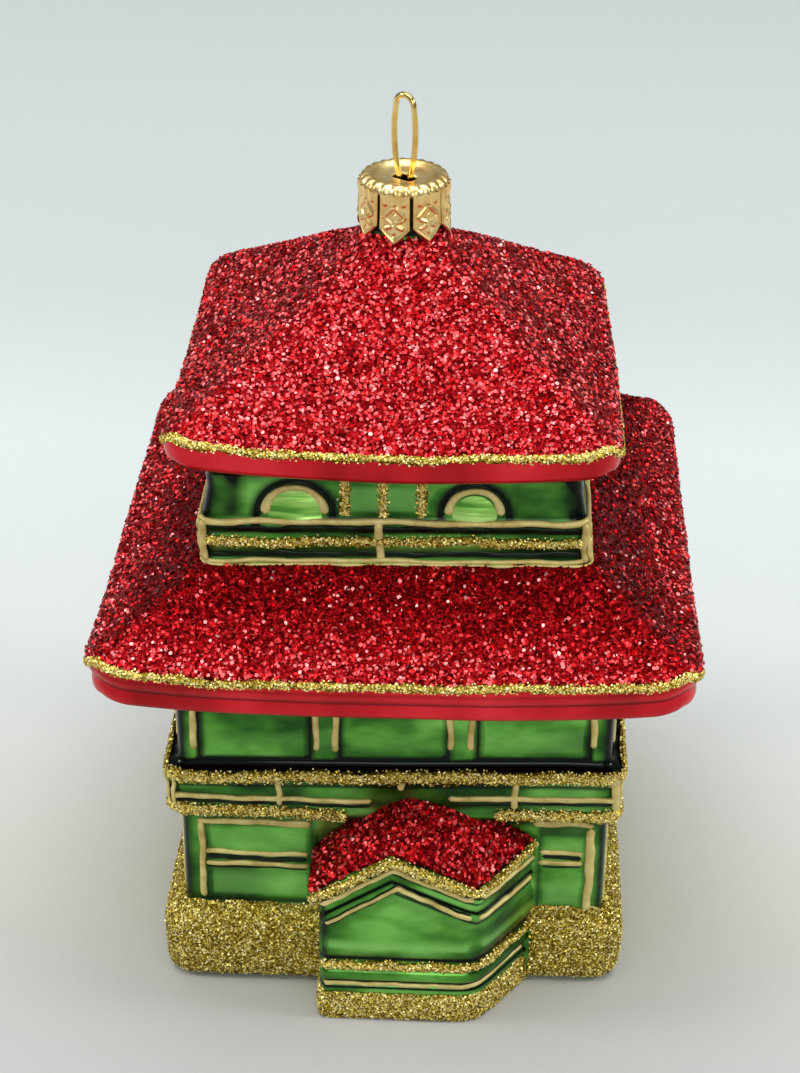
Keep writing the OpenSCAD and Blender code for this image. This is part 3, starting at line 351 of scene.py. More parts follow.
class Loft:
    """The glass body: a softened profile swept round a rounded square."""

    def __init__(self, keys, soft=0.28, step=0.1):
        keys = np.array(keys, float)
        run = np.r_[0, np.cumsum(np.hypot(np.diff(keys[:, 0]), np.diff(keys[:, 1])))]
        self.key_run, self.keys = run, keys
        self.run = np.arange(0, run[-1], step)
        rows = np.stack([np.interp(self.run, run, keys[:, i]) for i in range(4)], 1)
        reach = int(4 * soft / step)
        weight = np.exp(-0.5 * (np.arange(-reach, reach + 1) * step / soft) ** 2)
        padded = np.pad(rows, ((reach, reach), (0, 0)), "reflect", reflect_type="odd")
        self.rows = np.stack([np.convolve(padded[:, i], weight / weight.sum(), "valid") for i in range(4)], 1)

    def at(self, s):
        return [np.interp(s, self.run, self.rows[:, i]) for i in range(4)]

    def key(self, z, nth=0):
        """Place along the profile of the nth key at height z."""
        return self.key_run[np.where(np.isclose(self.keys[:, 0], z))[0][nth]]

    def points(self, s, t, blown=True):
        """Points at places s of the profile and t round the house, 0 to 4, as blown or as meant."""
        z, a, r, lift = self.at(s)
        side, v = np.floor(t), 2 * (t % 1) - 1
        u = 0.5 * v + 0.5 * np.sin(np.pi * v / 2)
        au, r = abs(u), np.minimum(r, a - 1e-3)
        c = a - r
        inner = np.maximum((c * (au + 1)) ** 2 - (1 + au * au) * (2 * c * c - r * r), 0)
        d = np.where(a * au <= c, a, (c * (au + 1) + np.sqrt(inner)) / (1 + au * au))
        x, y = d * u, -d
        ca, sa = np.cos(side * np.pi / 2), np.sin(side * np.pi / 2)
        rise = lift * au ** np.where(z > BAND_TOP, 1.9, 2.8)
        p = np.stack([x * ca - y * sa, x * sa + y * ca, z + rise], -1)
        return warp(p) if blown else p

    def surface(self, s, t, off=0.0):
        """Points and outward normals, moved out by off."""
        s, t = np.broadcast_arrays(np.asarray(s, float), np.asarray(t, float))
        p = self.points(s, t)
        ds = self.points(s + 0.12, t) - self.points(s - 0.12, t)
        dt = self.points(s, t + 0.003) - self.points(s, t - 0.003)
        n = unit(np.cross(dt, ds))
        p = p + n * (0.1 * ripple(p, 0.16))[..., None]
        return p + n * np.asarray(off)[..., None], n


loft = Loft(KEYS)
BASE_FOOT = loft.key(0, 1)


def half_width(z):
    """Half width of a wall at height z, for what is laid on the four walls."""
    rows = loft.rows[loft.run > BASE_FOOT]
    order = np.argsort(rows[:, 0], kind="stable")
    return np.interp(z, rows[order, 0], rows[order, 1])


# ---------------------------------------------------------------- painted lines
def turned(p, side):
    """Points moved from the front wall to the given side."""
    c, s = round(math.cos(side * math.pi / 2)), round(math.sin(side * math.pi / 2))
    return np.stack([p[..., 0] * c - p[..., 1] * s, p[..., 0] * s + p[..., 1] * c, p[..., 2]], -1)


def smoothed(line, times):
    """A line whose inner points have been drawn towards their neighbours some times."""
    line = np.array(line)
    for _ in range(times):
        line[1:-1] = (line[:-2] + 2 * line[1:-1] + line[2:]) / 4
    return line


def walked(points, gap, extra):
    """Places a gap apart along a line through points, and both coordinates at each place."""
    pts = np.array(points, float)
    run = np.r_[0, np.cumsum(np.linalg.norm(np.diff(pts, axis=0), axis=1))]
    s = np.linspace(0, run[-1], int(run[-1] / gap) + extra)
    return s, np.interp(s, run, pts[:, 0]), np.interp(s, run, pts[:, 1])


def wall_path(side, points, wobble=0.1, seed=0.0):
    """A hand-painted line on one wall through (x, z) points, with the wall's normals."""
    s, x, z = walked(points, 0.45, 1)
    if len(points) > 2:
        x, z = smoothed(x, 3), smoothed(z, 3)
    sway = np.sin(s * 0.45 + seed * 2.1) + 0.6 * np.sin(s * 1.1 + seed * 5.3)
    along = unit(np.stack([np.gradient(x), np.gradient(z)], -1))
    x, z = x - along[:, 1] * sway * wobble, z + along[:, 0] * sway * wobble
    p = np.stack([x, -half_width(z), z], -1)
    tilt = (half_width(z + 0.15) - half_width(z - 0.15)) / 0.3
    n = unit(np.stack([0 * x, -np.ones_like(x), -tilt], -1))
    p, n = warp(turned(p, side)), turned(n, side)
    return p + n * (0.1 * ripple(p, 0.16))[..., None], n


def ribbon(p, n, width, height, closed=False, seed=0.0, rough=0.06):
    """A rounded bead laid along a path, sunk a little into it. Returns its points and faces."""
    lap, sink, count = 7, 0.12, len(p)
    ahead = np.roll(p, -1, 0) - np.roll(p, 1, 0) if closed else np.gradient(p, axis=0)
    side = unit(np.cross(unit(ahead), n))
    run = np.r_[0, np.cumsum(np.linalg.norm(np.diff(p, axis=0), axis=1))]
    w = np.interp(np.linspace(0, 1, count), np.linspace(0, 1, np.size(width)), np.ravel(width)) / 2
    w = w * (1 + rough * np.sin(run * 1.7 + seed) + rough * np.sin(run * 0.6 + 2 * seed))
    h = np.full(count, float(height))
    if not closed:
        end = np.minimum(run, run[-1] - run)
        cap = np.sqrt(np.clip(1 - (1 - fade(end / w)) ** 2, 0.0025, 1))
        w, h = w * cap, h * cap
    q = np.linspace(-1, 1, lap)
    arch = np.sqrt(fade(1 - q ** 2)) ** 0.8
    top = (p[:, None] + side[:, None] * (w[:, None] * q)[..., None]
           + n[:, None] * (h[:, None] * arch - sink * (1 - arch))[..., None])
    verts = np.concatenate([top, (p - n * sink)[:, None]], 1).reshape(-1, 3)
    cols = lap + 1
    i = np.arange(count if closed else count - 1)[:, None]
    j = np.arange(cols)[None]
    a, b = (i * cols + j), (i * cols + (j + 1) % cols)
    c, d = ((i + 1) % count) * cols + (j + 1) % cols, ((i + 1) % count) * cols + j
    faces = np.stack([a, d, c, b], -1).reshape(-1, 4).tolist()
    if not closed:
        faces += [list(range(cols)), list(range((count - 1) * cols, count * cols))[::-1]]
    return verts, faces


def joined(parts):
    """Points and faces of several small meshes as one."""
    verts, faces, base = [], [], 0
    for v, f in parts:
        verts.append(v)
        faces += [[k + base for k in face] for face in plain(f)]
        base += len(v)
    return np.concatenate(verts), faces


def painted(name, lines, height, material, slot, nodes=(), closed=0):
    """Beads of paint along lines (path, normals, width); the first few may be closed rings."""
    parts = [ribbon(p, n, w, height, closed=i < closed, seed=i * 1.7) for i, (p, n, w) in enumerate(lines)]
    piece(name, *joined(parts), material, slot, nodes)


# ---------------------------------------------------------------- glitter
def glittered(name, kind, bed, spots, size, tilt, sides, rise, painted_shade, nodes):
    """A glued bed, and on it one small flat flake at each spot (points, normals), each darkened by the
    painted shade it is given.
    """
    piece(name + "_bed", *bed, kind + "_bed", kind + "_glitter", nodes)
    p, n = spots
    count = len(p)
    lean = rng.normal(0, tilt, (count, 3))
    normal = unit(n + lean - n * np.sum(lean * n, 1, keepdims=True))
    ref = unit(np.cross(normal, rng.normal(size=(count, 3))))
    other = np.cross(normal, ref)
    radius = size * rng.uniform(0.65, 1.2, count)[:, None, None] / 2
    angle = np.linspace(0, 2 * np.pi, sides, endpoint=False)
    centre = p + n * rng.uniform(*rise, count)[:, None]
    corners = (centre[:, None] + radius * (np.cos(angle)[None, :, None] * ref[:, None]
                                            + np.sin(angle)[None, :, None] * other[:, None]))
    shade = fade(rng.beta(2.0, 2.4, count) - painted_shade)
    # About 2 flakes in 100 take the palest end of their ramp: painted glints.
    shade[rng.random(count) < 0.02] = 1.0
    piece(name + "_flakes", corners.reshape(-1, 3), np.arange(count * sides).reshape(count, sides), kind,
          kind + "_glitter", smooth=False, shade=np.repeat(shade, sides))


def glitter(name, sheet, count, size, kind, nodes, sides=4, tilt=0.42, dim=(0, 1, 0), spared=0.1,
            skyward=False):
    """Glitter spread evenly by area over a sheet (points, faces, top faces). Its flakes, but for the share
    spared, are painted darker, as painted shade, over a zone given as (from height, full height, amount).
    With skyward, none faces down."""
    verts, faces, quads = sheet
    a, b, c, d = (verts[quads[:, i]] for i in range(4))
    cross = np.cross(c - a, d - b)
    if skyward:
        cross *= np.sign(cross[:, 2:3])
    area = np.linalg.norm(cross, axis=1)
    pick = rng.choice(len(quads), count, p=area / area.sum())
    u, v = rng.random((2, count, 1))
    p = a[pick] * (1 - u) * (1 - v) + b[pick] * u * (1 - v) + c[pick] * u * v + d[pick] * (1 - u) * v
    painted_shade = dim[2] * fade((p[:, 2] - dim[0]) / (dim[1] - dim[0])) * (rng.random(count) > spared)
    spots = (p, unit(cross[pick]))
    glittered(name, kind, (verts, faces), spots, size, tilt, sides, (-0.05, 0.16), painted_shade, nodes)


def away(t):
    """0 on the front of the house, 1 on its sides and back."""
    return fade((abs((t + 1.5) % 4 - 2) - 0.5) / 0.12)


def coat(name, s0, s1, thick, count, size, kind, nodes, t0=0.0, t1=4.0, climb=0.0, duck=0.0, **more):
    """Glitter over the loft from place s0 to s1 along the profile. On the sides and back it starts lower by
    duck, and at the front's right end it climbs higher by climb."""
    closed = t1 - t0 >= 4
    rows, cols = int(abs(s1 - s0) / 0.95), int(80 * (t1 - t0))
    t = np.linspace(t0, t1, cols, endpoint=not closed)[None, :]
    edge = 0.25 * (np.sin(t * 37) + np.sin(t * 61 + 2) + np.sin(t * 97 + 1)) / 2
    q = np.linspace(0, 1, rows)[:, None]
    s0, s1 = s0 - duck * away(t), s1 + climb * fade((1.02 - t) / 0.05)
    s = s0 + (s1 - s0) * q + edge * (1 - q) ** 6 - edge * q ** 6
    rise = thick * np.clip(np.minimum(q, 1 - q) * rows / 1.2, 0.12, 1)
    where, _ = loft.surface(s, t)
    top, _ = loft.surface(s, t, rise * (1 + 0.25 * ripple(where, 1.6)))
    low, _ = loft.surface(s, t, -0.1)
    glitter(name, slab(top, low, closed), count, size, kind, nodes, **more)


def glitter_bead(name, paths, width, height, per_mm, nodes, closed=False):
    """Lines of gold glitter: rounded beads with ragged edges, thick with flakes."""
    parts, spots = [], []
    for index, (p, n) in enumerate(paths):
        parts.append(ribbon(p, n, width, height, closed, seed=index * 1.3, rough=0.14))
        count = int(per_mm * np.linalg.norm(np.diff(p, axis=0), axis=1).sum())
        place = rng.uniform(0, len(p) - 1.001, count)
        i, f = place.astype(int), (place % 1)[:, None]
        side = unit(np.cross(unit(np.roll(p, -1, 0) - p if closed else np.gradient(p, axis=0)), n))
        q = np.clip(rng.normal(0, 0.55, count), -1.25, 1.25)[:, None]
        arch = np.sqrt(fade(1 - q ** 2)) ** 0.8
        centre = p[i] * (1 - f) + p[np.minimum(i + 1, len(p) - 1)] * f
        centre = centre + side[i] * q * width / 2 + n[i] * (height * arch)
        spots.append((centre, unit(n[i] + side[i] * q * 0.8)))
    spots = [np.concatenate(x) for x in zip(*spots)]
    glittered(name, "gold", joined(parts), spots, 0.36, 0.5, 4, (-0.06, 0.14), 0, nodes)


def loft_line(s, t0=0.0, t1=4.0, wobble=0.12, seed=0.0, duck=0.0):
    """A line round the house at place s of the profile, which dips by duck on the sides and back."""
    t = np.linspace(t0, t1, int(150 * (t1 - t0)), endpoint=t1 - t0 < 4)
    sway = wobble * (np.sin(t * 9 + seed) + np.sin(t * 23 + 2 * seed) + 0.6 * np.sin(t * 41))
    return loft.surface(s + sway - duck * away(t), t)


# ---------------------------------------------------------------- the glass body
# Windows as centre, half width and height. Panels as their left and right ends
WINDOWS = ((-14.1, 4.3, 4.15), (11.6, 3.75, 4.1))
WINDOW_FOOT = 80.9
PANELS = ((-29, -12.5), (-7.8, 7.8), (12.5, 29))
LOW_PANELS = ((-28.9, -12.5), (22.5, 29.6))
# Level lines painted dark, where the lacquer has pooled and, under the balcony and the eaves (31.2, 55.4,
# 88.0), as painted shade: height, softness, strength
POOL_AND_SHADE_LINES = ((13.6, 0.5, 0.7), (30.2, 0.5, 0.6), (31.2, 1.0, 0.85), (33.9, 0.5, 0.6), (34.8, 0.4, 0.85),
              (38.6, 0.6, 0.8), (55.4, 1.1, 0.9), (74.6, 0.8, 0.9), (78.6, 0.9, 0.9), (80.4, 0.5, 0.7),
              (88.0, 1.6, 0.97))


def border(x, z, x0, x1, z0, z1, soft):
    """How near a point is to a panel's border: 1 at the border and outside, 0 well inside."""
    inside = np.minimum(np.minimum(x - x0, x1 - x), np.minimum(z - z0, z1 - z))
    return np.where(inside > 0, np.exp(-(inside / soft) ** 2), 1.0)


def pools_shade_and_light(p, side):
    """How dark a point is painted, up to 1, or how much lighter, below 0, from its place on its wall: pooled
    lacquer, painted shade and painted light.
    """
    x, z = turned(p, -side)[..., 0], p[..., 2]
    murk = np.clip(0.42 + 0.4 * ripple(p, 0.4), 0, 0.8) * (z > 32.5) * (z < 40.4)
    # Painted shade on the rounded corners of each wall.
    corner = np.where(z > 40, 0.85, 0.75) * fade((abs(x) - (half_width(z) - 2.4)) / 1.6) * (z < 90)
    # Painted shade, blotched, at the ends of the upper wall under the eave.
    end = fade((-x - 20.2) / 2.5) + fade((x - 24.2) / 2) + 0.5 * fade((x - 15.8) / 1.5)
    upper = np.clip(end * (0.65 + 0.5 * ripple(p, 0.9)), 0, 0.95) * (z > 80.5) * (z < 89)
    # The ledge above the balcony is painted near black: painted shade from the storey and roof above, and
    # lacquer pooled on it.
    ledge = hump(z, 41.6, 1.15, 6)
    darks = [strongest(z, POOL_AND_SHADE_LINES), ledge, murk, corner, upper]
    for x0, x1 in PANELS:
        inside = (z > 41.5) & (z < 55) & (x > x0 - 0.9) & (x < x1 + 0.9)
        smudge = 0.42 * hump(x, (x0 + x1) / 2 + 1.5, 4.5) * hump(z, 50.5, 1.8)
        smudge += 0.3 * hump(x, x0 + 3.5, 1.8) * hump(z, 51, 2.5)
        darks += [inside * smudge, inside * 0.85 * border(x, z, x0, x1, 42.8, 55.2, 0.45)]
    for x0, x1 in LOW_PANELS if side == 0 else ():
        inside = (z > 14) & (z < 30.5) & (x > x0 - 0.8) & (x < x1 + 0.8)
        darks.append(inside * 0.6 * border(x, z, x0, x1, 13.9, 28.4, 0.5))
    # A dark ring round each window arch: lacquer pooled against the arch, and painted shade.
    for centre, radius, height in WINDOWS:
        far = np.hypot((x - centre) / (radius + 1.3), (z - 80.2) / (height + 1.6))
        darks.append(0.97 * hump(far, 1, 0.2) * (z > 79.5))
    dark = np.max(darks, axis=0)
    # Painted light: the walls painted lighter in bands, where they lie in the shade of the balcony, the porch
    # and the eaves.
    painted_light = 0.17 * hump(z, 17, 2.6, 4) + 0.13 * hump(z, 25.5, 2.2, 4) + 0.05 * hump(z, 46, 2, 4)
    painted_light += 0.07 * (z > 43) * (z < 54) * (x > 12) + 0.16 * hump(z, 83.6, 2.8, 4) * hump(x, -2, 16, 6)
    return np.clip(dark - painted_light * fade(1 - dark / 0.3), -0.4, 1)


def glass_body():
    """The whole blown glass, with wider rows where glitter covers it."""
    covered = [(BASE_FOOT, loft.key(BASE_RIM)), (loft.key(SLOPE1), loft.key(SLOPE1_TOP)),
               (loft.key(SLOPE2), loft.key(NECK))]
    s, places, wide = 0.0, [], 72
    while s < loft.run[-1]:
        places.append(s)
        hidden = any(a < s < b for a, b in covered)
        s += 4 if s < BASE_FOOT - 2 else 1.6 if hidden else 0.55
    s, t = np.meshgrid(places + [loft.run[-1]], np.linspace(0, 4, 4 * wide, endpoint=False), indexing="ij")
    meant = loft.points(s, t, blown=False)
    dark = np.concatenate([pools_shade_and_light(meant[:, k * wide:(k + 1) * wide], k) for k in range(4)], 1)
    dark[s > loft.key(NECK_BARE)] = 1
    rows, cols = s.shape
    faces = grid_faces(rows, cols, True).tolist()
    faces += [list(range(cols))[::-1], list(range((rows - 1) * cols, rows * cols))]
    piece("house_glass", loft.surface(s, t)[0].reshape(-1, 3), faces, "glass", "green_glass", ["glass_shell"],
          pool=dark.reshape(-1))


def lacquer(name, s0, s1, nodes, grooves):
    """Red lacquer over the loft from place s0 to s1, painted dark along lines (height, softness, strength):
    in grooves, and as painted shade on the eaves' lower edges.
    """
    s, t = np.meshgrid(np.arange(s0, s1, 0.42), np.linspace(0, 4, 320, endpoint=False), indexing="ij")
    dark = strongest(loft.at(s)[0], grooves)
    piece(name, loft.surface(s, t, 0.12)[0].reshape(-1, 3), grid_faces(*s.shape, True), "red", "red_lacquer",
          nodes, pool=dark.reshape(-1))


glass_body()
# The dark lines at 56.4 and 88.3, on the eaves' lower edges, are painted shade; the others are grooves.
lacquer("lower_eave_red", loft.key(EAVE1), loft.key(RED1_TOP), ["lower_eave_lacquer"],
        [(59.5, 0.3, 0.85), (56.4, 0.5, 0.9), (61.2, 0.3, 0.5)])
lacquer("upper_eave_red", loft.key(EAVE2) - 0.5, loft.key(RED2_TOP) + 0.1, ["upper_eave_lacquer"],
        [(88.3, 0.4, 0.9)])
# From 64.5 up to 69.5 the lower roof's flakes are painted darker: painted shadow of the upper storey near the
# band.
coat("lower_roof", loft.key(GOLD1) + 0.8, loft.key(BAND_FOOT) + 0.1, 0.4, 24000, 0.58, "ruby",
     ["lower_roof_glitter"], sides=5, dim=(64.5, 69.5, 0.55), duck=1.3)
coat("upper_roof", loft.key(RED2_TOP) - 0.1, loft.key(NECK_BARE), 0.35, 23000, 0.58, "ruby",
     ["upper_roof_glitter"], sides=5, duck=1.3)
coat("base", BASE_FOOT + 0.6, loft.key(WALL_FOOT) + 0.15, 0.4, 38000, 0.4, "gold", ["base_glitter"],
     t0=0.75, t1=4.385, climb=1.2)
for name, start, width, duck, seed, node in (
        ("lower_eave_gold", loft.key(GOLD1) + 1.0, 1.3, 1.7, 15, "lower_eave_glitter_line"),
        ("upper_eave_gold", loft.key(RED2_TOP) + 0.1, 1.2, 1.7, 15, "upper_eave_glitter_line"),
        ("balcony_top_gold", loft.key(LEDGE_TOP) + 0.2, 2.0, 0, 16, "balcony_upper_glitter_line"),
        ("band_gold", loft.key(BAND_MID) + 0.3, 1.5, 0, 9, "band_glitter_line")):
    glitter_bead(name, [loft_line(start, seed=seed, duck=duck)], width, 0.45, 26 * width, [node], closed=True)
glitter_bead("balcony_low_gold", [loft_line(loft.key(LEDGE_LOW) + 0.4, 0.68, 4.42, seed=2.0)], 1.9, 0.4, 50,
             ["balcony_lower_glitter_line"])

# ---------------------------------------------------------------- the porch
# Its front, the house's wall, the two ends of its front and how far its right side flares out
PORCH_Y, HOUSE_Y = -43.15, -32.2
PORCH_LEFT, PORCH_RIGHT, PORCH_FLARE = -10.3, 13.6, 8.2
GABLE = np.array([(-11.9, 23.65), (0.75, 31.95), (13.95, 25.8)])
(_, LEFT_Z), (RIDGE_X, RIDGE_Z), (_, RIGHT_Z) = GABLE
# Points of the outline that the roof begins and ends at
ROOF_FROM, ROOF_TO = 28, 79
# The end of the flared wall, and the softness of the corner before it
WALL_END, SOFT = 27.2, 1.0
FLARE = unit(np.array([PORCH_FLARE, HOUSE_Y - PORCH_Y]))


def porch_outline(v):
    """The porch's outline in x and z at depth v, 0 at its front and 1 at the house."""
    left, right = PORCH_LEFT, PORCH_RIGHT - 0.45 + PORCH_FLARE * v
    eave_l, eave_r = (-12.3, LEFT_Z - 0.5 * v), (right + 0.85, RIGHT_Z + 1.6 * v)
    ridge = (RIDGE_X + 2.6 * v, RIDGE_Z + 4.2 * v ** 0.8)
    tuck_l, tuck_r = (left, eave_l[1] - 0.9), (right, eave_r[1] - 0.9)
    legs = [((left, 0), tuck_l, 26, 0), (tuck_l, eave_l, 3, 0), (eave_l, ridge, 26, 0.5 + 0.7 * v),
            (ridge, eave_r, 26, 0.4 + 0.7 * v), (eave_r, tuck_r, 3, 0), (tuck_r, (right, 0), 26, 0)]
    out = []
    for p, q, n, swell in legs:
        t = np.linspace(0, 1, n)
        d = np.array(q) - np.array(p)
        normal = np.array([-d[1], d[0]]) / np.hypot(*d)
        out.append(np.array(p) + t[:, None] * d + normal * (swell * np.sin(np.pi * t))[:, None])
    return smoothed(np.concatenate([out[0]] + [part[1:] for part in out[1:]]), 2)


def inset(line, d):
    """The outline moved d inward, its two feet kept on the ground."""
    along = unit(np.gradient(line, axis=0))
    moved = line + np.stack([along[:, 1], -along[:, 0]], -1) * d
    moved[[0, -1], 1] = 0
    return moved


def porch_shell():
    """Outlines from the porch's rounded front edge back to the house."""
    edge, front = 0.9, PORCH_Y + 0.3
    rows = [(front + edge * (1 - math.cos(turn)), inset(porch_outline(0), 0.9 * edge * (1 - math.sin(turn))))
            for turn in np.radians([23, 45, 68, 90])]
    rows += [(front + edge + (HOUSE_Y - front - edge) * v, porch_outline(v))
             for v in np.linspace(0.06, 1, 22)]
    return np.array([np.c_[line[:, 0], np.full(len(line), y), line[:, 1]] for y, line in rows])


def step(x, at, soft):
    """A soft step from 0 up to 1 where x passes at."""
    return 1 / (1 + np.exp(-(x - at) / soft))


def wall_plan(w, out=0.0):
    """The porch's wall at w along it, first the front and then round a soft corner up the flared side.
    Returns points moved out by out, and normals."""
    past = SOFT * np.logaddexp(0, (w - PORCH_RIGHT) / SOFT)
    turn = step(w, PORCH_RIGHT, SOFT)
    n = unit(np.stack([FLARE[1] * turn, (1 - FLARE[0]) * turn - 1, 0 * turn], -1))
    p = np.stack([w - (1 - FLARE[0]) * past, PORCH_Y + FLARE[1] * past, 0 * w], -1)
    return p + n * np.asarray(out)[..., None], n


def up_flare(w, rise):
    """What a course that climbs by rise along the flared side has climbed at w."""
    return rise * fade((w - PORCH_RIGHT) / (WALL_END - PORCH_RIGHT))


def crest(w, rise):
    """Height of the porch wall's top at w."""
    return np.interp(w, GABLE[:, 0], GABLE[:, 1]) + up_flare(w, rise)


def porch_relief(w, z):
    """How far the porch wall stands out, and how dark it is painted, at w and z: lacquer pooled beside its
    relief, and painted shade along its left edge.
    """
    d, left, corner = crest(w, 0.4) - z, w - PORCH_LEFT - 0.4, abs(w - PORCH_RIGHT - 0.1)
    z = z - up_flare(w, 0.4)
    out = 0.45 * (1 - step(d, 3.0, 0.12)) + 0.35 * hump(d, 5.6, 0.9, 4)
    inside = np.minimum(np.minimum(d - 7.2, z - 12.3), np.minimum(left - 0.6, corner - 0.5))
    out += 0.5 * (1 - np.exp(-np.clip(inside, 0, 9) / 1.1)) * (inside > 0)
    out += 0.5 * hump(z, 8.7, 1.0, 4) + 0.35 * hump(z, 5.9, 0.7, 4) - 0.5 * hump(np.maximum(left, 0), 0, 0.35)
    dark = sum(strength * hump(d, at, soft) for at, soft, strength in (
        (1.75, 0.3, 1), (3.0, 0.35, 0.9), (4.7, 0.35, 0.95), (6.7, 0.35, 0.8), (8, 1.2, 0.25)))
    dark += sum(strength * hump(z, at, soft) for at, soft, strength in (
        (12.0, 0.4, 1), (6.35, 0.25, 0.95), (7.6, 0.25, 0.8), (9.8, 0.3, 0.6), (13.2, 0.8, 0.3)))
    # Painted shade along the porch's rounded left edge.
    dark += 0.75 * hump(np.maximum(left - 0.1, 0), 0, 0.7) * (z > 12.2)
    dark -= 0.3 * hump(z, 14.6, 1.1) * (d > 8) * fade(corner - 0.5)
    return out, np.clip(dark, -0.3, 1)


def porch_wall():
    """The porch's front and flared side in one sheet: points, faces and dark."""
    low = PORCH_LEFT + 0.1
    w = np.linspace(low, WALL_END, 176)[:, None]
    top = crest(w, 1.6) - 0.25
    z = np.linspace(0, 1, 150)[None, :] * top
    w = np.broadcast_to(w, z.shape)
    out, dark = porch_relief(w, z)
    rim = np.maximum(np.minimum(w - low, top - z), 0)
    p, _ = wall_plan(w, out + 0.25 - 0.9 * np.exp(-rim / 0.22))
    p[..., 2] = z
    return p.reshape(-1, 3), grid_faces(*z.shape)[:, ::-1], dark.reshape(-1)


def porch_glass():
    """The porch's shell and its wall."""
    rows, cols, _ = porch.shape
    verts = porch.reshape(-1, 3)
    i = np.arange(rows - 1)[:, None] * cols
    floor = i + np.array([0, cols - 1, 2 * cols - 1, cols])
    faces = np.concatenate([grid_faces(rows, cols)[:, ::-1], floor]).tolist()
    faces += [list(range(cols)), list(range((rows - 1) * cols, rows * cols))[::-1]]
    dark = strongest(verts[:, 2], ((12.0, 0.4, 0.9), (6.35, 0.3, 0.9), (7.6, 0.3, 0.7), (9.8, 0.3, 0.6)))
    front, front_faces, front_dark = porch_wall()
    verts, faces = joined([(verts, faces), (front, front_faces)])
    piece("porch_glass", verts, faces, "glass", "green_glass", pool=np.r_[dark, front_dark])


def porch_roof():
    roof = porch[:, ROOF_FROM:ROOF_TO + 1]
    rows, cols, _ = roof.shape
    n = unit(np.cross(np.gradient(roof, axis=0), np.gradient(roof, axis=1)))
    n *= np.sign(n[rows // 2, cols // 2, 2])
    rim = np.ones((rows, cols))
    rim[[0, -1]], rim[:, [0, -1]] = 0.2, 0.2
    top = roof + n * (0.45 * rim)[..., None]
    top[0, :, 1] -= 0.1
    verts, faces, quads = slab(top, roof - n * 0.1)
    # All but 12 in 100 of the porch roof's flakes are painted darker by 0.2: painted shade.
    glitter("porch_roof", (verts, faces[:, ::-1], quads[:, ::-1]), 2900, 0.6, "ruby", ["porch_roof_glitter"],
            sides=6, tilt=0.5, dim=(-1, 0, 0.2), spared=0.12, skyward=True)


def porch_path(points, wobble=0.08, seed=0.0, out=0.0):
    """A painted line on the porch wall through (w, z) points, with the wall's normals."""
    s, w, z = walked(points, 0.35, 2)
    if len(points) > 2:
        w, z = smoothed(w, 1), smoothed(z, 1)
    z = z + wobble * (np.sin(s * 0.9 + seed) + 0.6 * np.sin(s * 2.1 + 2 * seed))
    p, n = wall_plan(w, porch_relief(w, z)[0] + 0.25 + out)
    p[:, 2] = z
    return p, n


porch = porch_shell()
porch_glass()
porch_roof()
STEP_LINE = 10.6
HIGH = [[(-10.2, 22.2), (0.9, 29.65), (13.2, 24.0)], [(14.4, 24.2), (26.9, 24.6)]]
LOW = [[(-9.3, 18.6), (1.8, 26.15), (12.9, 20.4)], [(13.9, 20.4), (26.6, 20.7)]]
FOOT = [(-9.7, 6.95), (13.6, 6.95), (24.8, 8.2)]
ROOF_EDGE = [(-11.6, 23.1), (0.75, 31.3), (13.7, 25.3), (27, 27)]
STEP = [(-10.1, STEP_LINE), (13.6, STEP_LINE), (26.6, STEP_LINE + 0.3)]


def beside(line, up, seed):
    """The dark outline of a painted line, moved up by up."""
    return (*porch_path([(w, z + up) for w, z in line], seed=seed, out=-0.1), 0.5)


painted("porch_lines", [(*porch_path(line, seed=i + 1), 0.9) for i, line in enumerate(HIGH + LOW + [FOOT])],
        0.36, "enamel", "cream_enamel", ["porch_enamel"])
painted("porch_outlines", [beside(HIGH[0], -0.62, 1), beside(HIGH[1], -0.62, 2), beside(LOW[0], 0.62, 3),
                           beside(LOW[1], 0.62, 4), beside(LOW[0], -0.6, 3), beside(FOOT, 0.62, 5)],
        0.2, "pooled", "green_glass")
glitter_bead("porch_gold", [porch_path(ROOF_EDGE, 0.1, 4, 0.12), porch_path(STEP, 0.12, 5, 0.1)],
             1.65, 0.42, 50, ["porch_glitter_trim"])


def porch_base():
    """Gold round the porch's foot."""
    front = wall_plan(np.linspace(PORCH_LEFT, 26, 90), 0.4)[0][:, :2]
    left = np.stack([np.full(20, PORCH_LEFT - 0.1), np.linspace(-35, PORCH_Y, 20, endpoint=False)], -1)
    plan = smoothed(np.concatenate([left, front]), 3)
    cols = np.arange(len(plan))
    along = unit(np.gradient(plan, axis=0))
    out = np.stack([along[:, 1], -along[:, 0]], -1)
    z = np.array([0, 0.6, 1.6, 2.8, 4, 4.8, 5.2])
    swell = np.array([0.05, 0.2, 0.3, 0.35, 0.3, 0.1, -0.35])
    sway = 0.16 * np.sin(cols * 0.5) + 0.1 * np.sin(cols * 1.3)
    top = np.zeros((len(z), len(plan), 3))
    top[..., :2] = plan[None] + out[None] * swell[:, None, None]
    top[..., 2] = z[:, None] + sway[None] * (z[:, None] > 4)
    low = top.copy()
    low[..., :2] -= 0.8 * out[None]
    glitter("porch_base", slab(top, low, ends=False), 4400, 0.39, "gold", ["porch_base_glitter"])


porch_base()


# ---------------------------------------------------------------- enamel on the walls
def walls_of(draw):
    """Lines of a hand-painted pattern on all four walls, where draw(side) lists (points, width)."""
    return [(*wall_path(side, points, seed=side + 1.7 * i), width)
            for side in range(4) for i, (points, width) in enumerate(draw(side))]


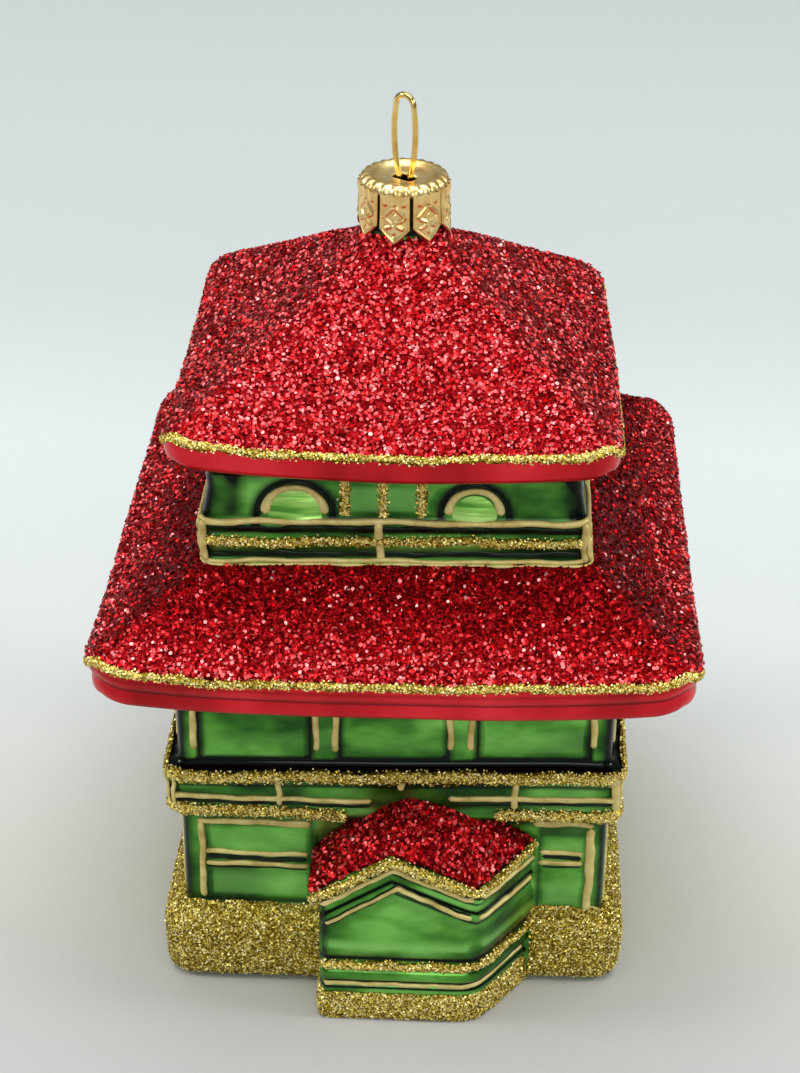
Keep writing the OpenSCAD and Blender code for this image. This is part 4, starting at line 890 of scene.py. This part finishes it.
def ground_lines(side):
    if side == 0:
        return [([(-29.5, 14.0), (-29.6, 28.8)], 1.15), ([(-30.2, 29.1), (-12.6, 28.9)], (1.2, 1.2, 1.6)),
                ([(-29.2, 23.1), (-13.1, 22.9)], 0.95), ([(-29.2, 20.9), (-13.0, 20.8)], 0.95),
                ([(30.1, 13.8), (30.2, 29.8)], (1.3, 1.7, 1.5)), ([(21.2, 30.2), (30.6, 30.1)], (1.6, 1.1)),
                ([(22.4, 25.2), (29.2, 25.1)], 0.95), ([(22.2, 23.1), (29.2, 23.0)], 0.95)]
    return [([(-29.6, 14.2), (-29.6, 28.8)], 1.15), ([(29.6, 14.2), (29.6, 28.8)], 1.3),
            ([(-30.1, 29.1), (30.1, 29.0)], 1.2), ([(-29.2, 22.7), (29.2, 22.6)], 0.9),
            ([(-29.2, 20.6), (29.2, 20.5)], 0.9)]


def ground_fill(side):
    """The dark lacquer between the rails, and below the lower one."""
    if side == 0:
        return [([(-29.0, 22.0), (-13.3, 21.85)], 1.3), ([(-29.0, 20.2), (-13.3, 20.1)], 0.5),
                ([(22.8, 24.2), (29.0, 24.05)], 1.2), ([(22.8, 22.4), (29.0, 22.3)], 0.5)]
    return [([(-29, 21.7), (29, 21.6)], 1.3), ([(-29, 19.95), (29, 19.85)], 0.5)]


def balcony_lines(side):
    rails = [([(-33.4, 35.6), (33.4, 35.6)], 1.05)]
    if side == 0:
        rails = [([(-33.4, 34.8), (-3.2, 34.8)], 1.0), ([(8.2, 35.9), (33.4, 36.1)], 1.1)]
    posts = [([(x, 33.5), (x, 40.9)], w) for x, w in ((-33.2, 0.7), (-17.3, 1.15), (18.3, 1.15), (33.4, 1.3))]
    return rails + posts + [([(1.1, 37.6), (1.1, 40.6)], (1.0, 1.8))]


def balcony_fill(side):
    spans = [(-33, -3.4, 33.9), (9.2, 33, 34.7)] if side == 0 else [(-33, 33, 34.7)]
    return [([(x0, z), (x1, z)], 0.75) for x0, x1, z in spans]


def first_lines(side):
    return [([(x, foot), (x, 54.8)], 1.2) for x, foot in
            ((-30, 44.2), (-11.7, 44.1), (-8.7, 43.9), (8.4, 44.3), (11.5, 44.2), (29.7, 44.8))]


def band_posts(side):
    return [([(x, 73.4), (x, 80.2)], w) for x, w in ((-27.4, 1.1), (-2.1, (1.2, 1.7)), (27.4, 1.1))]


def band_fill(side):
    return [([(-27, 78.6), (27, 78.6)], 1.5), ([(-27, 74.55), (27, 74.55)], 1.1)]


def arches(width, grow=0.0):
    """Lines round the windows of all four walls, further out by grow."""
    turn = np.linspace(0, np.pi, 25)
    out = []
    for side in range(4):
        for i, (centre, radius, height) in enumerate(WINDOWS):
            x = centre - (radius + grow) * np.cos(turn)
            z = WINDOW_FOOT + (height + grow) * abs(np.sin(turn)) ** 0.9
            out.append((*wall_path(side, np.stack([x, z], -1), wobble=0.06, seed=side + i), width))
    return out


def panes():
    """Swollen half-round panes with a straight foot."""
    r, a = np.linspace(0, 1, 11)[:, None], np.linspace(0, np.pi, 33)[None, :]
    parts = []
    for side in range(4):
        for centre, radius, height in WINDOWS:
            x = centre - (radius - 0.45) * r * np.cos(a)
            z = WINDOW_FOOT - 0.5 + height * r * np.sin(a) ** 0.85
            p = np.stack([x, -half_width(z) - 0.12 - 0.4 * (1 - r ** 2), z], -1)
            parts.append((turned(p, side).reshape(-1, 3), grid_faces(*x.shape)[:, ::-1]))
    piece("panes", *joined(parts), "pane", "pane_lacquer", ["window_panes"])


rings = [(*loft_line(loft.key(height) + move, wobble=0.1, seed=height), width)
         for height, move, width in ((BAND_TOP, 0.05, 1.1), (BAND_LOW, -0.3, 0.8), (BAND_FOOT, -0.1, 0.6))]
FILL = (0.12, "pooled", "green_glass")
LINE = ("enamel", "cream_enamel")
painted("ground_fill", walls_of(ground_fill), *FILL)
painted("ground_frames", walls_of(ground_lines), 0.36, *LINE, ["ground_floor_enamel"])
painted("balcony_fill", walls_of(balcony_fill), *FILL)
painted("balcony_rails", walls_of(balcony_lines), 0.38, *LINE, ["balcony_enamel"])
painted("first_posts", walls_of(first_lines), 0.38, *LINE, ["first_floor_enamel"])
painted("band_fill", walls_of(band_fill), *FILL)
painted("band_lines", rings + walls_of(band_posts), 0.36, *LINE, ["band_enamel"], closed=3)
painted("window_arch_lines", arches((1.8, 1.5, 1.15, 1.05, 1.15, 1.4, 1.6)), 0.4, *LINE, ["window_arches"])
# Dark rings round the window arches: lacquer pooled against them, and painted shade.
painted("window_arch_outlines", arches(0.8, grow=0.75), 0.14, "pooled", "green_glass")
panes()
glitter_bead("wall_gold_strips", [wall_path(side, [(x, 80.7), (x, 88.2)], seed=side + x)
                                  for side in range(4) for x in (-7.06, -1.57, 4.03)],
             1.5, 0.4, 46, ["upper_wall_glitter_strips"])

# ---------------------------------------------------------------- cap and wire
CAP_R, CAP_TOP, CAP_DISH, CAP_ROUND, CAP_T = 6.45, 122.4, 0.7, 1.3, 0.35
PETALS, PETAL_GAP, FIRST_PETAL = 8, 0.3, math.radians(-100)
TIP_Z, POINT_H, SLIT_TOP, STAR_Z = 113.8, 2.2, 121.3, 116.9
LOOP_TURN = math.radians(-35)
WIRE_R, LOOP_W, LOOP_H, LOOP_TOP_R, LEG_GAP = 0.45, 4.6, 12, 1.5, 0.8


def stroke(u, z, a, b, width):
    """1 on the line from a to b, falling to 0 within about its width."""
    a, b = np.array(a), np.array(b)
    d = b - a
    t = fade(((u - a[0]) * d[0] + (z - a[1]) * d[1]) / (d @ d))
    return hump(np.hypot(u - a[0] - t * d[0], z - a[1] - t * d[1]), 0, width)


def petal_relief(u, z, edge):
    """The stamped pattern of a petal: border, ribs, a split chevron, a six-armed star and a dot."""
    marks = [0.16 * hump(edge, 0.2, 0.18)]
    marks += [0.34 * stroke(u, z, (rib, 119.9), (rib, 123), 0.27) for rib in (-1.35, 0.0, 1.35)]
    marks += [0.26 * stroke(u, z, (0.28 * way, 119.3), (1.6 * way, 117.9), 0.2) for way in (-1, 1)]
    for turn in np.radians([30, 90, 150, 210, 270, 330]):
        c, s = math.cos(turn), math.sin(turn)
        marks.append(0.3 * stroke(u, z, (0.35 * c, STAR_Z + 0.35 * s), (1.4 * c, STAR_Z + 1.3 * s), 0.19))
    return np.max(marks, axis=0) - 0.2 * hump(np.hypot(u, z - 115.1), 0, 0.2)


def cap_petals():
    parts = []
    u = np.linspace(-1, 1, 31)[None, :]
    q = np.linspace(0, 1, 46)[:, None]
    for k in range(PETALS):
        half = (math.pi * CAP_R / PETALS - PETAL_GAP / 2) * (0.95 if k % 4 == 0 else 1)
        low = TIP_Z + POINT_H * abs(u) + 0.15 * math.sin(2.1 * k)
        z = low + (SLIT_TOP - low) * q
        across = u * half * np.ones_like(z)
        edge = np.minimum(half - abs(across), (z - low) * 0.75)
        sheet = CAP_R + 0.35 * fade((119.5 - z) / 5.5) ** 1.5
        front = sheet + petal_relief(across, z, edge) - 0.12 * hump(edge, 0, 0.12)
        a = FIRST_PETAL + 2 * math.pi * k / PETALS + across / CAP_R
        outer, inner = (np.stack([r * np.cos(a), r * np.sin(a), z], -1) for r in (front, sheet - CAP_T))
        parts.append(slab(outer, inner, last=False)[:2])
    return parts


def cap_crown():
    """The pleated shoulder, the dished top and the slot that the wire comes out of."""
    arc = np.radians(np.linspace(0, 90, 12))
    profile = [(CAP_R, SLIT_TOP - 0.25), (CAP_R, SLIT_TOP - 0.05)]
    profile += [(CAP_R - CAP_ROUND * (1 - math.cos(t)), CAP_TOP - CAP_ROUND * (1 - math.sin(t))) for t in arc]
    profile += [(4.85, CAP_TOP - 0.02), (4.55, CAP_TOP - 0.2), (4.3, CAP_TOP - 0.42), (3.9, CAP_TOP - 0.6)]
    profile += [(3.2, CAP_TOP - CAP_DISH), (2.6, CAP_TOP - CAP_DISH)]
    cols = 256
    a = np.linspace(0, 2 * math.pi, cols, endpoint=False)
    rows = []
    for r, z in profile:
        pleat = 0.17 * hump(r, 6.1, 0.6) * np.cos(3 * PETALS * (a - FIRST_PETAL))
        pleat += 0.05 * hump(r, 4.9, 0.4) * np.cos(23 * a + 1)
        out = r + 0.6 * pleat
        rows.append(np.stack([out * np.cos(a), out * np.sin(a), z + 0.5 * pleat], -1))
    x, y = (reach * np.sign(way) * abs(way) ** 0.5 for reach, way in ((1.9, np.cos(a)), (1.15, np.sin(a))))
    c, s = math.cos(LOOP_TURN), math.sin(LOOP_TURN)
    slot = np.roll(np.stack([x * c - y * s, x * s + y * c], -1), round(LOOP_TURN / (2 * math.pi) * cols), 0)
    for drop, grow in ((0, 1.08), (0.06, 1), (CAP_T, 1)):
        rows.append(np.c_[slot * grow, np.full(cols, CAP_TOP - CAP_DISH - drop)])
    return np.concatenate(rows), grid_faces(len(rows), cols, True)


def tube(line, radius, sides=12):
    """A round wire along a line of points, with closed ends."""
    flat = np.array([math.sin(LOOP_TURN), -math.cos(LOOP_TURN), 0.0])
    across = unit(np.cross(unit(np.gradient(line, axis=0)), flat))
    a = np.linspace(0, 2 * math.pi, sides, endpoint=False)[None, :, None]
    verts = line[:, None] + radius * (np.cos(a) * across[:, None] + np.sin(a) * flat)
    faces = grid_faces(len(line), sides, True).tolist()
    faces += [list(range(sides))[::-1], [(len(line) - 1) * sides + k for k in range(sides)]]
    return verts.reshape(-1, 3), faces


def loop_line():
    """The middle of the wire: a tight arc over the top, two long bowed sides, and legs that spring apart."""
    wide = LOOP_W / 2 - WIRE_R
    top, foot = CAP_TOP + LOOP_H - WIRE_R, CAP_TOP - CAP_DISH - 0.2
    leg = LEG_GAP / 2 + WIRE_R
    widest = foot + 0.58 * (top - foot)
    bow_r = ((widest - foot) ** 2 + (wide - leg) ** 2) / (2 * (wide - leg))
    join = math.acos((bow_r - wide) / (bow_r - LOOP_TOP_R))
    mid = top - LOOP_TOP_R - (bow_r - LOOP_TOP_R) * math.sin(join)
    t = np.linspace(-math.asin((mid - foot) / bow_r), join, 30)[:-1]
    bowed = np.stack([wide - bow_r + bow_r * np.cos(t), mid + bow_r * np.sin(t)], -1)
    t = np.linspace(join, math.pi / 2, 10)
    arc = np.stack([LOOP_TOP_R * np.cos(t), top - LOOP_TOP_R + LOOP_TOP_R * np.sin(t)], -1)
    right = np.concatenate([[(4.3, 113.6), (2.6, 117), (leg + 0.1, 120.3)], bowed, arc])
    line = np.concatenate([right, right[:-1][::-1] * (-1, 1)])
    u = line[:, 0] * (1 + 0.04 * (line[:, 0] > 0))
    return np.stack([u * math.cos(LOOP_TURN), u * math.sin(LOOP_TURN), line[:, 1]], -1)


piece("brass_cap", *joined([cap_crown()] + cap_petals()), "cap", "brass_sheet", ["crown_cap"], body=CAP)
piece("brass_loop", *tube(loop_line(), WIRE_R), "wire", "brass_wire", ["hanger_wire"], body=CAP)


# ---------------------------------------------------------------- the stage
def stage_floor():
    """A plain pale cloth, its colour painted lighter behind the ornament: painted light, as under a broad
    window.
    """
    mesh = bpy.data.meshes.new("floor")
    mesh.from_pydata([(x, y, -0.0002) for x, y in ((-4, -4), (4, -4), (4, 4), (-4, 4))], [], [(0, 1, 2, 3)])
    n = Nodes("pale_cloth", Roughness=0.95)
    place = n.add("ShaderNodeSeparateXYZ", {0: n.coords()})
    depth = n.math("ADD", n.math("MULTIPLY", place.outputs[1], 1.25), 0.125)
    n.colour(n.ramp(depth, [
        (0.0, (0.42, 0.42, 0.42)), (0.062, (0.445, 0.445, 0.435)), (0.106, (0.52, 0.525, 0.48)),
        (0.16, (0.57, 0.585, 0.565)), (0.222, (0.55, 0.585, 0.575)), (0.3, (0.572, 0.625, 0.615)),
        (0.4, (0.505, 0.543, 0.54)), (0.65, (0.51, 0.55, 0.547)), (1.0, (0.5, 0.54, 0.54))]))
    n.bump(n.noise(1800, 2), 0.12, 0.0004)
    mesh.materials.append(n.mat)
    placed("floor", mesh)


def area_light(name, place, size, watts):
    """A square lamp that shines on the middle of the ornament."""
    lamp = bpy.data.lights.new(name, "AREA")
    lamp.shape, lamp.size, lamp.energy = "SQUARE", size, watts
    turn = (Vector(place) - Vector((0, 0, 0.06))).to_track_quat("Z", "Y").to_matrix().to_4x4()
    placed(name, lamp).matrix_world = Matrix.Translation(place) @ turn


def studio_world():
    """An even pale room, brighter overhead, with darker walls for the glass to mirror."""
    world = bpy.data.worlds.new("studio")
    bpy.context.scene.world = world
    world.use_nodes = True
    tree = world.node_tree
    place, split, band = (tree.nodes.new(kind) for kind in
                          ("ShaderNodeTexCoord", "ShaderNodeSeparateXYZ", "ShaderNodeValToRGB"))
    tree.links.new(place.outputs["Generated"], split.inputs[0])
    tree.links.new(split.outputs[2], band.inputs[0])
    stops = band.color_ramp.elements
    stops.new(0.5)
    for stop, (where, level) in zip(stops, ((0.0, 0.3), (0.45, 0.55), (1.0, 1.0))):
        stop.position = where
        stop.color = (0.95 * level, 0.98 * level, level, 1)
    tree.links.new(band.outputs[0], tree.nodes["Background"].inputs[0])
    tree.nodes["Background"].inputs[1].default_value = 0.5


stage_floor()
area_light("overhead", (-0.02, -0.04, 1.2), 1.1, 13)
area_light("front", (0.1, -1.15, 0.55), 0.5, 3.4)
area_light("left", (-1.1, -0.1, 0.7), 0.3, 5)
area_light("right", (1.1, -0.1, 0.7), 0.3, 5.4)
studio_world()
bpy.context.scene.view_settings.view_transform = "Standard"
